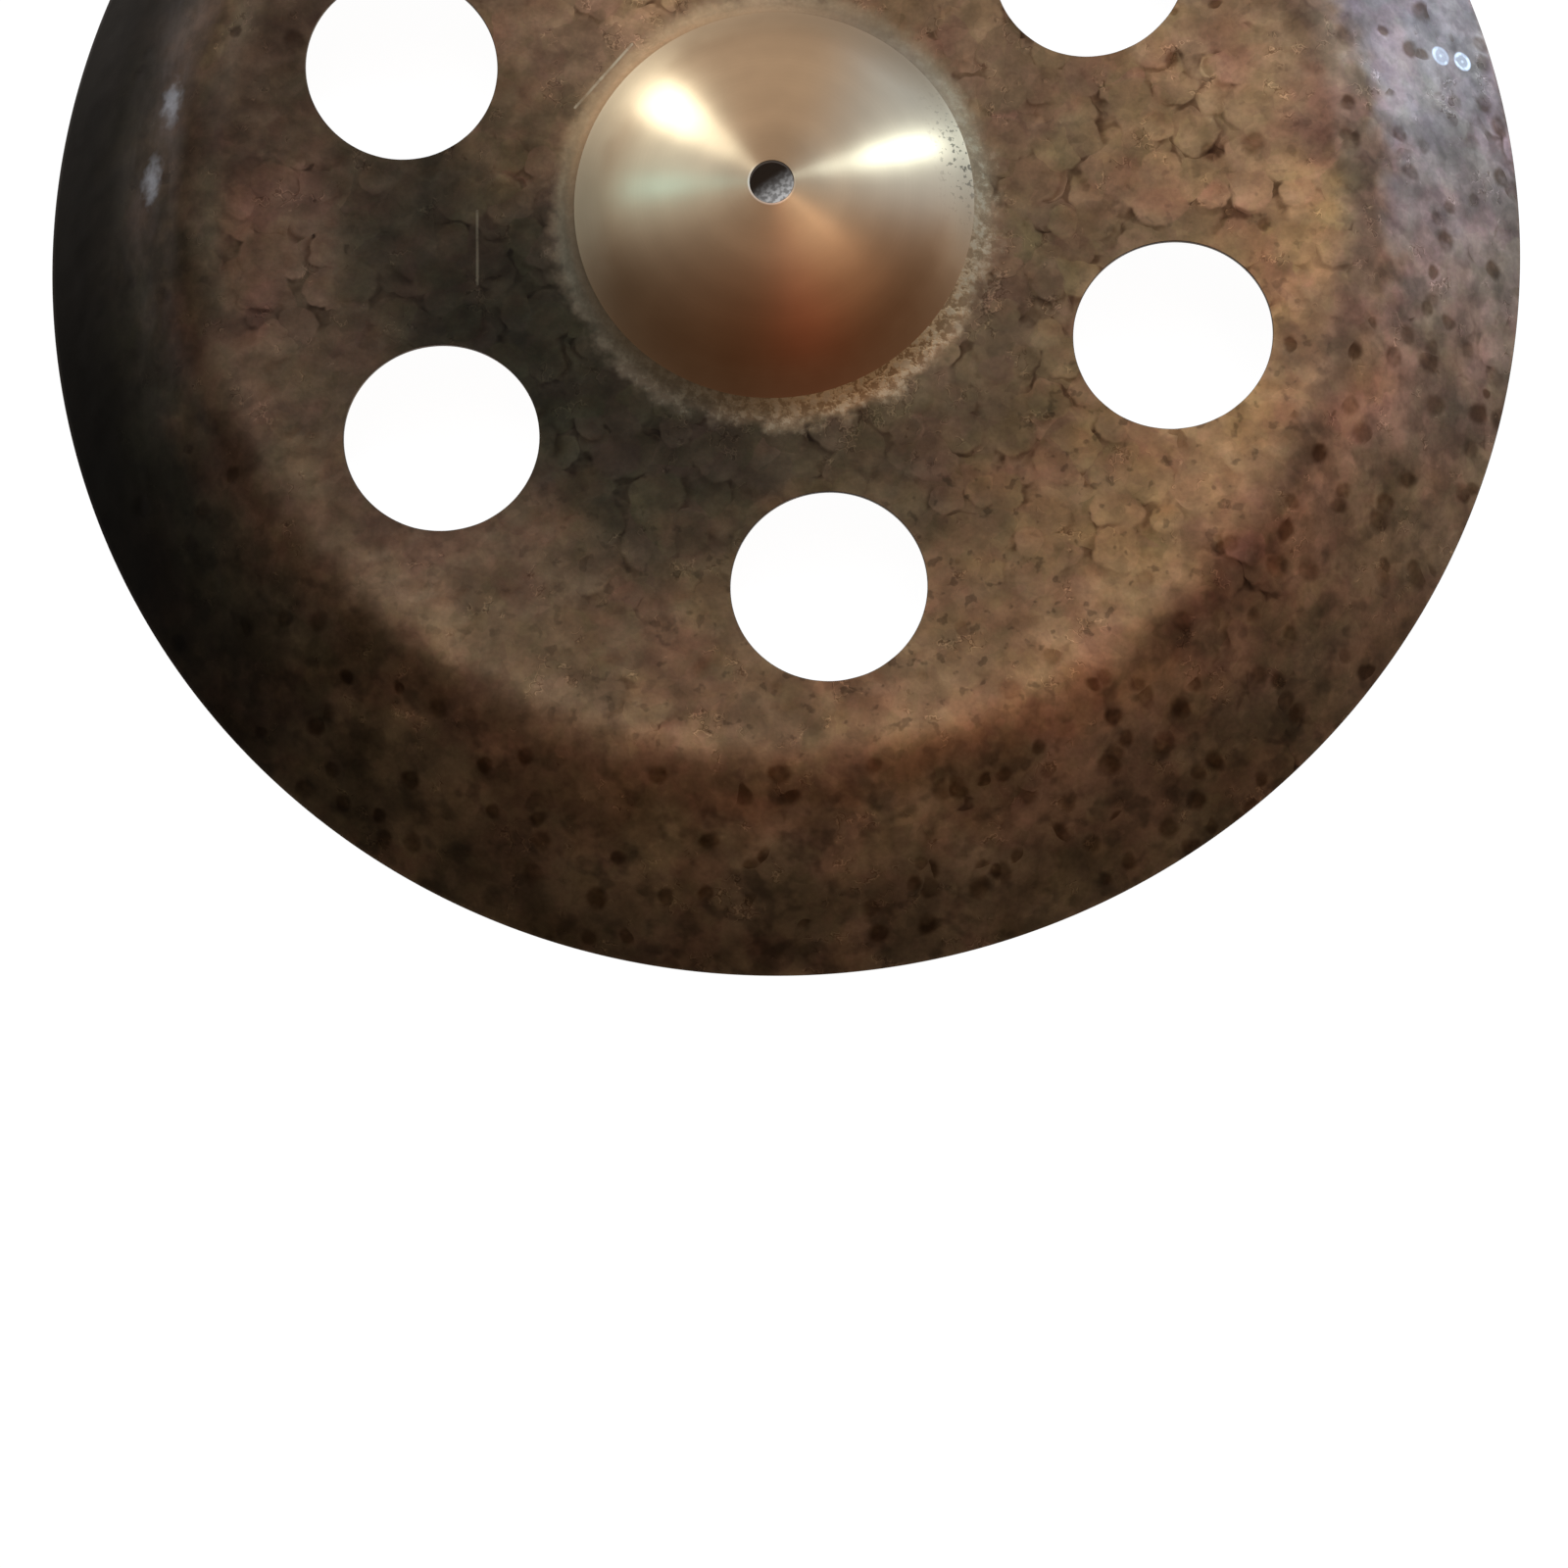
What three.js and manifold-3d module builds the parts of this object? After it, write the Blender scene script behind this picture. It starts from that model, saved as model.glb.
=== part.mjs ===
// China cymbal with six sound holes, lying bell up on its rim.
// Lengths are in millimetres and +Z is up. The origin is the centre of the rim's resting plane.
// One sheet of bronze makes the whole object: bell, bow, ridge and flange are regions of it.

import * as THREE from 'three';
import { mergeVertices } from 'three/addons/utils/BufferGeometryUtils.js';
import Module from 'manifold-3d';

// Driving dimensions of the turned form. The heights are those of the upper face.
const cymbalRadius = 228.6;
const rimLandWidth = 1.0;
const rimEdgeHeight = 0.4;
const ridgeRadius = 171;
const ridgeHeight = 33.2;
const ridgeRounding = 28;
const bowMiddleRadius = 118;
const bowMiddleHeight = 26.8;
const bowRounding = 800;
const bellFootRadius = 63.5;
const bellFootHeight = 23.4;
const bellFootRounding = 14;
const bellShoulderRadius = 48;
const bellShoulderHeight = 31.9;
const bellShoulderRounding = 80;
const bellMiddleRadius = 30;
const bellMiddleHeight = 37.4;
const bellMiddleRounding = 150;
const feltSeatRadius = 12;
const feltSeatHeight = 40;
const feltSeatRounding = 20;

// Thickness of the sheet, measured square to it.
const bellThickness = 1.5;
const bowThickness = 1.1;
const flangeThickness = 0.9;

// Mounting hole for the rod of a stand.
const mountingHoleDiameter = 12.7;

// Six sound holes, cut by hand with a hole saw on one pitch circle.
const soundHoleCount = 6;
const soundHoleDiameter = 57;
const soundHolePitchRadius = 120;
const firstSoundHoleAngle = THREE.MathUtils.degToRad(-82);

// How far each hole missed its mark: its distance from the centre as a share of the pitch radius,
// and its turn from an even spacing as a share of one step round the circle.
const pitchErrorShares = [-0.025, 0.032, -0.008, 0.002, -0.002, 0.004];
const turnErrorShares = [0, 0.035, -0.008, -0.011, 0.016, -0.031];

// How far a cutting tool runs past the metal on each side.
const overrun = 12;

// Facets: round the cymbal and round each hole. A rounding turns by this much at most from one
// facet of the profile to the next.
const turnFacets = 88;
const soundHoleFacets = 40;
const mountingHoleFacets = 24;
const facetTurn = THREE.MathUtils.degToRad(8);

const bronze = new THREE.MeshStandardMaterial({
  name: 'hammered_bronze',
  color: new THREE.Color(0.3, 0.215, 0.155),
  roughness: 0.45,
  metalness: 0.9,
});

// A corner of the profile: its distance from the axis, its height and the radius that rounds it.
function corner(r, z, rounding = 0) {
  return { point: new THREE.Vector2(r, z), rounding };
}

// The upper face from the axis out to the rim, as corners of a polygon.
function upperFaceCorners() {
  return [
    corner(0, feltSeatHeight),
    corner(feltSeatRadius, feltSeatHeight, feltSeatRounding),
    corner(bellMiddleRadius, bellMiddleHeight, bellMiddleRounding),
    corner(bellShoulderRadius, bellShoulderHeight, bellShoulderRounding),
    corner(bellFootRadius, bellFootHeight, bellFootRounding),
    corner(bowMiddleRadius, bowMiddleHeight, bowRounding),
    corner(ridgeRadius, ridgeHeight, ridgeRounding),
    corner(cymbalRadius, rimEdgeHeight),
  ];
}

// Points of the arc that rounds one corner, tangent to both of its sides.
function roundedCorner(before, at, after, rounding) {
  const inward = before.clone().sub(at).normalize();
  const outward = after.clone().sub(at).normalize();
  const halfAngle = Math.acos(inward.dot(outward)) / 2;
  const wanted = rounding / Math.tan(halfAngle);
  const room = Math.min(before.distanceTo(at), after.distanceTo(at)) / 2;
  const setback = Math.min(wanted, room);
  const radius = setback * Math.tan(halfAngle);
  const middle = inward.clone().add(outward).normalize();
  const centre = at.clone().addScaledVector(middle, radius / Math.sin(halfAngle));
  const start = at.clone().addScaledVector(inward, setback).sub(centre);
  const end = at.clone().addScaledVector(outward, setback).sub(centre);
  const sweep = Math.atan2(start.x * end.y - start.y * end.x, start.dot(end));
  const steps = Math.ceil(Math.abs(sweep) / facetTurn);
  const points = [];
  for (let step = 0; step <= steps; step += 1) {
    const turned = start.clone().rotateAround(new THREE.Vector2(), sweep * step / steps);
    points.push(turned.add(centre));
  }
  return points;
}

// The upper face as a smooth line of points, every corner with a rounding turned into its arc.
function upperFace() {
  const corners = upperFaceCorners();
  const points = [];
  corners.forEach((here, index) => {
    if (here.rounding > 0) {
      const before = corners[index - 1].point;
      const after = corners[index + 1].point;
      points.push(...roundedCorner(before, here.point, after, here.rounding));
    } else {
      points.push(here.point);
    }
  });
  return points;
}

// Sheet thickness at a distance from the axis: thick in the bell, thin in the flange.
function thicknessAt(r) {
  if (r < bellFootRadius) {
    return bellThickness;
  }
  if (r < ridgeRadius) {
    const outward = (r - bellFootRadius) / (ridgeRadius - bellFootRadius);
    return THREE.MathUtils.lerp(bellThickness, bowThickness, outward);
  }
  const outward = (r - ridgeRadius) / (cymbalRadius - ridgeRadius);
  return THREE.MathUtils.lerp(bowThickness, flangeThickness, outward);
}

// The lower face: the upper face moved down by the thickness, square to the sheet.
function lowerFace(upper) {
  const points = upper.map((here, index) => {
    const before = upper[Math.max(index - 1, 0)];
    const after = upper[Math.min(index + 1, upper.length - 1)];
    const along = after.clone().sub(before).normalize();
    const down = new THREE.Vector2(along.y, -along.x);
    return here.clone().addScaledVector(down, thicknessAt(here.x));
  });
  points[0].set(0, feltSeatHeight - bellThickness);
  points[points.length - 1].set(cymbalRadius - rimLandWidth, 0);
  return points;
}

// A closed geometry as a solid that can be cut.
function toSolid(wasm, geometry) {
  const bare = geometry.clone();
  bare.deleteAttribute('normal');
  bare.deleteAttribute('uv');
  const merged = mergeVertices(bare);
  const vertProperties = new Float32Array(merged.attributes.position.array);
  const triVerts = new Uint32Array(merged.index.array);
  return new wasm.Manifold(new wasm.Mesh({ numProp: 3, vertProperties, triVerts }));
}

// A cut solid back as a geometry for a mesh.
function toGeometry(solid) {
  const mesh = solid.getMesh();
  const geometry = new THREE.BufferGeometry();
  geometry.setAttribute('position', new THREE.BufferAttribute(new Float32Array(mesh.vertProperties), 3));
  geometry.setIndex(new THREE.BufferAttribute(new Uint32Array(mesh.triVerts), 1));
  geometry.computeVertexNormals();
  return geometry;
}

// The turned sheet before any hole is cut, with its axis stood up on Z.
function turnedSheet() {
  const upper = upperFace();
  const lower = lowerFace(upper);
  const rimCorner = new THREE.Vector2(cymbalRadius, 0);
  const outline = [...lower, rimCorner, ...upper.reverse()];
  const sheet = new THREE.LatheGeometry(outline, turnFacets);
  return sheet.rotateX(Math.PI / 2);
}

// The drill that opens the mounting hole, through the flat seat in the middle of the bell.
function mountingHoleCutter() {
  const radius = mountingHoleDiameter / 2;
  const cutter = new THREE.CylinderGeometry(radius, radius, 2 * overrun, mountingHoleFacets);
  cutter.rotateX(Math.PI / 2);
  return cutter.translate(0, 0, feltSeatHeight);
}

// Height of the bow's upper face at a distance from the axis.
function bowHeightAt(r) {
  const outward = (r - bellFootRadius) / (ridgeRadius - bellFootRadius);
  return THREE.MathUtils.lerp(bellFootHeight, ridgeHeight, outward);
}

// One hole-saw cut, square to the bow where it passes through it.
function soundHoleCutter(index) {
  const step = 2 * Math.PI / soundHoleCount;
  const angle = firstSoundHoleAngle + step * (index + turnErrorShares[index]);
  const distance = soundHolePitchRadius * (1 + pitchErrorShares[index]);
  const bowSlope = Math.atan2(ridgeHeight - bellFootHeight, ridgeRadius - bellFootRadius);
  const radius = soundHoleDiameter / 2;
  const cutter = new THREE.CylinderGeometry(radius, radius, 2 * overrun, soundHoleFacets);
  cutter.rotateX(Math.PI / 2);
  cutter.rotateY(-bowSlope);
  cutter.translate(distance, 0, bowHeightAt(distance));
  cutter.rotateZ(angle);
  return cutter;
}

async function cymbal() {
  const wasm = await Module();
  wasm.setup();
  let sheet = toSolid(wasm, turnedSheet());
  sheet = sheet.subtract(toSolid(wasm, mountingHoleCutter()));
  for (let index = 0; index < soundHoleCount; index += 1) {
    sheet = sheet.subtract(toSolid(wasm, soundHoleCutter(index)));
  }
  const mesh = new THREE.Mesh(toGeometry(sheet), bronze);
  mesh.name = 'cymbal';
  return mesh;
}

const chinaCymbal = new THREE.Group();
chinaCymbal.add(await cymbal());

export default chinaCymbal;
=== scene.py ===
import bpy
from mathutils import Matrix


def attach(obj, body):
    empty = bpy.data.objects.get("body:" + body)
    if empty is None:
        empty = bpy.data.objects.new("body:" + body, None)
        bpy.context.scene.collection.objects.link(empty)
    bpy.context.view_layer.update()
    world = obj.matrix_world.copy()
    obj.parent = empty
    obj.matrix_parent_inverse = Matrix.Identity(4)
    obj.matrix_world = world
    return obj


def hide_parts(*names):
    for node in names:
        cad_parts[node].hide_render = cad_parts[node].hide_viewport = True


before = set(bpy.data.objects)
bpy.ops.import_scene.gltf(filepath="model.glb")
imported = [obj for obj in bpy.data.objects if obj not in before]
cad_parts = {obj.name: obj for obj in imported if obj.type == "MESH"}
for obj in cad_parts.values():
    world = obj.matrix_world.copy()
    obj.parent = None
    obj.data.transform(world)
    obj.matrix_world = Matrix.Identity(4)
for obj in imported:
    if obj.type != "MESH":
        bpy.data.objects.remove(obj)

"""Hand-hammered china cymbal with six sound holes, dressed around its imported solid.

Lengths are in metres, in the frame of the solid: the rim rests on z = 0 and +Z is up. A heading is
an angle round the axis in degrees, from +X towards +Y. "Out" is the distance from the axis.
"""
import logging
import math
from dataclasses import dataclass, field, fields
from enum import Enum, IntEnum
from functools import cached_property, reduce

import bmesh
import bpy
import numpy as np
from mathutils import Matrix, Vector
from mathutils.geometry import delaunay_2d_cdt

LOG = logging.getLogger("cymbal")
TINY = 0.00001  # A length that stands for nothing, but can be divided by.

Socket = bpy.types.NodeSocket
Entry = Socket | float
Triple = tuple[float, float, float]
Colour = Triple
Spot = tuple[float, float]
Span = tuple[float, float]
Ramp = tuple[float, float, float, float]  # Where a change begins and ends, and its two levels.


class Zone(IntEnum):
    """Regions of the sheet, each with a finish of its own."""

    HAMMERED = 0
    LATHED = 1
    CUT = 2
    UNDERSIDE = 3


class Blend(Enum):
    """How a colour meets the one below it."""

    COVER = "MIX"
    TINT = "MULTIPLY"
    LIGHT = "ADD"


class Source(Enum):
    """Where a tree reads its place: on a piece, in the directions of the room, or on a mesh."""

    PIECE = ("ShaderNodeTexCoord", "Object")
    ROOM = ("ShaderNodeTexCoord", "Generated")
    MESH = ("GeometryNodeInputPosition", "Position")


def linear(red: int, green: int, blue: int) -> Colour:
    """Turn a screen colour into the linear one that a shader takes.

    Args:
        red: Red from 0 to 255.
        green: Green from 0 to 255.
        blue: Blue from 0 to 255.

    Returns:
        The linear colour, each part from 0 to 1.
    """
    def part(level: int) -> float:
        """One part of the colour, linear."""
        share = level / 255
        return share / 12.92 if share <= 0.04045 else ((share + 0.055) / 1.055) ** 2.4

    return part(red), part(green), part(blue)


def grey(level: float) -> Colour:
    """The same level for each part of a colour."""
    return level, level, level


def placed(name: str, data: bpy.types.ID) -> bpy.types.Object:
    """Put a new object into the scene.

    Args:
        name: Its name.
        data: Its mesh, lamp or camera.

    Returns:
        The object.
    """
    made = bpy.data.objects.new(name, data)
    bpy.context.scene.collection.objects.link(made)
    return made


@dataclass(frozen=True)
class Grain:
    """A layer of soft noise: the size of its patches, its finer layers, and a shift of its own."""

    size: float
    detail: float = 2.0
    rough: float = 0.5
    shift: float = 0.0


class NodeBench:
    """Lays down and joins nodes in one tree, for a shader or for geometry."""

    def __init__(self, tree: bpy.types.NodeTree, source: Source) -> None:
        """Start on a tree.

        Args:
            tree: The tree that takes the nodes.
            source: Where it reads its place.
        """
        self.tree = tree
        kind, output = source.value
        self.place = self.node(kind).outputs[output]

    @cached_property
    def out(self) -> Socket:
        """The distance of the place from the axis."""
        return self.radius(self.place)

    def node(self, kind: str, *entries: object, **settings: object) -> bpy.types.Node:
        """Lay down one node.

        Args:
            kind: The node's type name.
            entries: What its first inputs get, in order.
            settings: Its options by name.

        Returns:
            The new node.
        """
        made = self.tree.nodes.new(kind)
        for name, value in settings.items():
            setattr(made, name, value)
        for socket, entry in zip(made.inputs, entries):
            self.feed(socket, entry)
        return made

    def feed(self, socket: Socket, value: object) -> None:
        """Join a socket to another, or give it a plain value.

        Args:
            socket: The input to fill.
            value: An output socket, a number, a vector or a colour.
        """
        if isinstance(value, bpy.types.NodeSocket):
            self.tree.links.new(value, socket)
        elif socket.type == "RGBA":
            socket.default_value = (*value, 1.0)
        else:
            socket.default_value = value

    def math(
        self, how: str, a: Entry, b: Entry = 0.0, c: Entry = 0.0, clamp: bool = False
    ) -> Socket:
        """Reckon with one, two or three numbers."""
        return self.node("ShaderNodeMath", a, b, c, operation=how, use_clamp=clamp).outputs[0]

    def total(self, *terms: Entry) -> Socket:
        """Add two numbers or more."""
        return reduce(lambda so_far, term: self.math("ADD", so_far, term), terms)

    def product(self, *factors: Entry) -> Socket:
        """Multiply two numbers or more."""
        return reduce(lambda so_far, factor: self.math("MULTIPLY", so_far, factor), factors)

    def rest(self, share: Entry) -> Socket:
        """What a share leaves of 1."""
        return self.math("SUBTRACT", 1.0, share)

    def rise(
        self, value: Entry, low: Entry, high: Entry, start: Entry = 0.0, end: Entry = 1.0
    ) -> Socket:
        """Pass smoothly from one level to another while a value passes through a span.

        Args:
            value: The value that drives the change.
            low: Where the change begins.
            high: Where the change ends.
            start: The level before the span.
            end: The level after the span.

        Returns:
            The level.
        """
        entries = (value, low, high, start, end)
        return self.node("ShaderNodeMapRange", *entries, interpolation_type="SMOOTHSTEP").outputs[0]

    def fall(self, value: Entry, low: Entry, high: Entry) -> Socket:
        """Pass smoothly from 1 to 0 while a value passes through a span."""
        return self.rise(value, low, high, 1.0, 0.0)

    def spread(self, noise: Socket, start: float, end: float) -> Socket:
        """Noise drawn out between two levels."""
        return self.rise(noise, 0.3, 0.7, start, end)

    def vector(self, how: str, a: object, b: object = (0.0, 0.0, 0.0)) -> Socket:
        """Reckon with vectors, to a vector, or to a number for a distance or dot product."""
        made = self.node("ShaderNodeVectorMath", a, b, operation=how)
        return made.outputs["Value" if how in ("DISTANCE", "DOT_PRODUCT") else "Vector"]

    def scaled(self, colour: object, level: Entry) -> Socket:
        """Make a colour lighter or darker, or a vector longer or shorter.

        Args:
            colour: The colour or vector.
            level: The factor.

        Returns:
            The changed colour or vector.
        """
        made = self.node("ShaderNodeVectorMath", colour, operation="SCALE")
        self.feed(made.inputs["Scale"], level)
        return made.outputs[0]

    def parts(self, value: Socket) -> tuple[Socket, ...]:
        """The three parts of a vector or colour."""
        return tuple(self.node("ShaderNodeSeparateXYZ", value).outputs)

    def flat(self, x: Entry, y: Entry = 0.0) -> Socket:
        """A vector in the plan."""
        return self.node("ShaderNodeCombineXYZ", x, y).outputs[0]

    def radius(self, place: Socket) -> Socket:
        """The distance of any place from the axis."""
        x, y, _ = self.parts(place)
        return self.math("SQRT", self.total(self.product(x, x), self.product(y, y)))

    def away(self, spot: Spot, squash: float = 1.0) -> Socket:
        """The distance in plan from a spot, with a factor that narrows what follows it in x."""
        offset = self.vector("SUBTRACT", self.place, (*spot, 0.0))
        return self.radius(self.vector("MULTIPLY", offset, (squash, 1.0, 0.0)))

    def toward(self, heading: float, sharpness: float = 1.0, place: Socket | None = None) -> Socket:
        """How far round the axis a place lies towards a heading.

        Args:
            heading: The heading.
            sharpness: The power that narrows the region.
            place: A position, or None for the tree's own.

        Returns:
            1 in the heading itself, falling to 0 on the far side.
        """
        place = self.place if place is None else place
        x, y, _ = self.parts(place)
        angle = math.radians(heading)
        along = self.total(self.product(x, math.cos(angle)), self.product(y, math.sin(angle)))
        cosine = self.math("DIVIDE", along, self.math("MAXIMUM", self.radius(place), 0.001))
        half = self.math("MULTIPLY_ADD", cosine, 0.5, 0.5)
        return self.math("POWER", half, sharpness, clamp=True)

    def shifted(self, place: Socket, by: float) -> Socket:
        """The same place moved far away, so that a second layer doesn't repeat the first."""
        return self.vector("ADD", place, (by, 0.7 * by, 0.4 * by)) if by else place

    def noise(self, grain: Grain, place: Socket | None = None) -> Socket:
        """Lay down soft noise.

        Args:
            grain: Its make.
            place: Where it is read, or None for the tree's own place.

        Returns:
            Its level, mostly from 0.3 to 0.7.
        """
        spot = self.shifted(self.place if place is None else place, grain.shift)
        made = self.node("ShaderNodeTexNoise", spot, noise_dimensions="3D")
        settings = {"Scale": 1.0 / grain.size, "Detail": grain.detail, "Roughness": grain.rough}
        for name, value in settings.items():
            self.feed(made.inputs[name], value)
        return made.outputs[0]

    def nudged(self, place: Socket, noise: Socket, reach: Entry) -> Socket:
        """Push a place about at random, by the colours of some noise."""
        push = self.vector("SUBTRACT", noise.node.outputs[1], (0.5, 0.5, 0.5))
        return self.vector("ADD", place, self.scaled(push, reach))

    def cells(self, place: Socket, pitch: Entry) -> tuple[Socket, tuple[Socket, ...], Socket]:
        """Scatter cells over the plan.

        Args:
            place: Where they are read.
            pitch: The mean distance between neighbours.

        Returns:
            The distance from the nearest middle in pitches, three random shares, and that middle.
        """
        made = self.node("ShaderNodeTexVoronoi", place, voronoi_dimensions="2D", feature="F1")
        self.feed(made.inputs["Scale"], self.math("DIVIDE", 1.0, pitch))
        return made.outputs["Distance"], self.parts(made.outputs["Color"]), made.outputs["Position"]

    def mix(self, share: Entry, below: object, above: object, blend: Blend = Blend.COVER) -> Socket:
        """Lay one colour over another.

        Args:
            share: How much of the one above shows, from 0 to 1.
            below: The colour below.
            above: The colour above.
            blend: How they meet.

        Returns:
            The resulting colour.
        """
        options = {"data_type": "RGBA", "blend_type": blend.value, "clamp_factor": True}
        made = self.node("ShaderNodeMix", share, **options)
        self.feed(made.inputs[6], below)
        self.feed(made.inputs[7], above)
        return made.outputs[2]

    def tinted(self, colour: object, tint: object, share: Entry = 1.0) -> Socket:
        """A colour changed by a factor for each of its parts."""
        return self.mix(share, colour, tint, Blend.TINT)

    def scratch(self, start: Spot, end: Spot, width: float) -> Socket:
        """A straight scratch between two spots.

        Args:
            start: Where it starts.
            end: Where it ends.
            width: Its width.

        Returns:
            1 on the scratch and 0 beside it.
        """
        x, y, _ = self.parts(self.place)
        run = Vector((end[0] - start[0], end[1] - start[1], 0.0))
        offset = self.vector("SUBTRACT", self.flat(x, y), (*start, 0.0))
        along = self.vector("DOT_PRODUCT", offset, tuple(run))
        share = self.math("DIVIDE", along, run.length_squared, clamp=True)
        gap = self.vector("DISTANCE", offset, self.scaled(tuple(run), share))
        return self.fall(gap, 0.3 * width, 0.8 * width)


@dataclass(frozen=True)
class Patch:
    """A soft patch of the sheet towards one heading, which comes and goes over spans of "out"."""

    heading: float
    sharpness: float = 1.0
    share: float = 1.0
    comes: Span | None = None
    goes: Span | None = None
    before: float = 0.0

    def mask(
        self, bench: NodeBench, place: Socket | None = None, out: Socket | None = None
    ) -> Socket:
        """How much of the patch shows.

        Args:
            bench: The tree to build in.
            place: The place that has the heading, or None for the tree's own.
            out: The distance for the spans, or None for the tree's own.

        Returns:
            From 0 to the patch's share.
        """
        out = bench.out if out is None else out
        level: Entry = self.share
        if self.comes:
            level = bench.rise(out, *self.comes, self.before, self.share)
        if self.goes:
            level = bench.product(level, bench.fall(out, *self.goes))
        return bench.product(bench.toward(self.heading, self.sharpness, place), level)


@dataclass(frozen=True)
class Touch(Patch):
    """A patch with a colour that covers the one below, or with a factor that tints it."""

    paint: Colour = (1.0, 1.0, 1.0)
    blend: Blend = Blend.TINT


def touched(
    bench: NodeBench, colour: object, touches: tuple[Touch, ...], place: Socket | None = None,
    out: Socket | None = None,
) -> Socket:
    """Lay some touches over a colour, one after another.

    Args:
        bench: The tree to build in.
        colour: The colour below.
        touches: The touches.
        place: The place that has the headings, or None for the tree's own.
        out: The distance for the spans, or None for the tree's own.

    Returns:
        The touched colour.
    """
    for touch in touches:
        colour = bench.mix(touch.mask(bench, place, out), colour, touch.paint, touch.blend)
    return colour


@dataclass(frozen=True)
class SheetProfile:
    """The turned form of the sheet: bell, bow, ridge and flange, by their corners.

    Each corner is a distance from the axis, a height and a rounding radius.
    """

    rim_radius: float = 0.2286
    rim_height: float = 0.0004
    seat: Triple = (0.012, 0.040, 0.020)
    middle: Triple = (0.030, 0.0374, 0.150)
    shoulder: Triple = (0.048, 0.0319, 0.080)
    foot: Triple = (0.0635, 0.0234, 0.014)
    bow_middle: Triple = (0.118, 0.0268, 0.800)
    ridge: Triple = (0.171, 0.0332, 0.028)
    bell_thickness: float = 0.0015
    bow_thickness: float = 0.0011
    flange_thickness: float = 0.0009
    facet_turn: float = math.radians(0.25)

    def line(self) -> tuple[np.ndarray, np.ndarray, np.ndarray]:
        """The upper face from the axis to the rim as a fine line.

        Returns:
            Distances from the axis, heights, and slopes as angles.
        """
        corners = [(0.0, self.seat[1], 0.0), self.seat, self.middle, self.shoulder, self.foot]
        corners += [self.bow_middle, self.ridge, (self.rim_radius, self.rim_height, 0.0)]
        points: list[np.ndarray] = [np.array(corners[0][:2])]
        slopes: list[float] = [0.0]
        for before, here, after in zip(corners, corners[1:], corners[2:]):
            sides = (np.array(corner[:2]) for corner in (before, here, after))
            arc, turn = self.rounded(*sides, here[2])
            points.extend(arc)
            slopes.extend(turn)
        points.append(np.array(corners[-1][:2]))
        slopes.append(slopes[-1])
        table = np.array(points)
        return table[:, 0], table[:, 1], np.array(slopes)

    def rounded(
        self, before: np.ndarray, at: np.ndarray, after: np.ndarray, rounding: float
    ) -> tuple[list[np.ndarray], list[float]]:
        """Round one corner with an arc tangent to both of its sides.

        Args:
            before: The corner before it.
            at: The corner itself.
            after: The corner after it.
            rounding: The wanted radius.

        Returns:
            The points of the arc and the slope angle at each.
        """
        inward = (before - at) / np.linalg.norm(before - at)
        outward = (after - at) / np.linalg.norm(after - at)
        half = math.acos(float(np.clip(inward @ outward, -1, 1))) / 2
        room = min(np.linalg.norm(before - at), np.linalg.norm(after - at)) / 2
        setback = min(rounding / math.tan(half), float(room))
        first = math.atan2(-inward[1], -inward[0])
        last = math.atan2(outward[1], outward[0])
        radius = setback * math.tan(half)
        steps = max(2, math.ceil(abs(last - first) / self.facet_turn))
        side = math.copysign(1.0, last - first)
        start = at + inward * setback
        centre = start + side * radius * np.array([-math.sin(first), math.cos(first)])
        turns = [first + (last - first) * step / steps for step in range(steps + 1)]
        arc = [centre + side * radius * np.array([math.sin(t), -math.cos(t)]) for t in turns]
        return arc, turns

    def thickness(self, radius: np.ndarray) -> np.ndarray:
        """Thickness of the sheet at some distances from the axis."""
        levels = [self.bell_thickness] * 2 + [self.bow_thickness, self.flange_thickness]
        return np.interp(radius, [0.0, self.foot[0], self.ridge[0], self.rim_radius], levels)

    def surface(self, plan: np.ndarray) -> tuple[np.ndarray, np.ndarray]:
        """Lift plan points onto the upper face.

        Args:
            plan: Points in the plan, one row each.

        Returns:
            The lifted points, and the direction square to the sheet at each.
        """
        radius = np.linalg.norm(plan, axis=1)
        distances, heights, slopes = self.line()
        height = np.interp(radius, distances, heights)
        slope = np.interp(radius, distances, slopes)
        out = plan / np.maximum(radius, 1e-9)[:, None]
        up = np.column_stack([out * -np.sin(slope)[:, None], np.cos(slope)])
        return np.column_stack([plan, height]), up


@dataclass(frozen=True)
class SoundHoles:
    """The six hole-saw cuts round the bow, each a little off its mark."""

    radius: float = 0.0285
    pitch_radius: float = 0.120
    first_angle: float = math.radians(-82)
    pitch_error_shares: tuple[float, ...] = (-0.025, 0.032, -0.008, 0.002, -0.002, 0.004)
    turn_error_shares: tuple[float, ...] = (0, 0.035, -0.008, -0.011, 0.016, -0.031)
    facets: int = 168

    def loops(self, slope: float) -> list[tuple[np.ndarray, np.ndarray]]:
        """The outlines of the holes in the plan.

        Args:
            slope: The slope of the bow, to which the cuts are square.

        Returns:
            For each hole its outline points and the directions out of the hole at each.
        """
        found = []
        step = 2 * math.pi / len(self.pitch_error_shares)
        turn = np.arange(self.facets) * 2 * math.pi / self.facets
        for index, (off, late) in enumerate(zip(self.pitch_error_shares, self.turn_error_shares)):
            angle = self.first_angle + step * (index + late)
            out = np.array([math.cos(angle), math.sin(angle)])
            side = np.array([-out[1], out[0]])
            centre = out * self.pitch_radius * (1 + off)
            away = np.outer(np.cos(turn), out) + np.outer(np.sin(turn), side)
            ring = np.outer(np.cos(turn) * math.cos(slope), out) + np.outer(np.sin(turn), side)
            found.append((centre + self.radius * ring, away))
        return found


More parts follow.
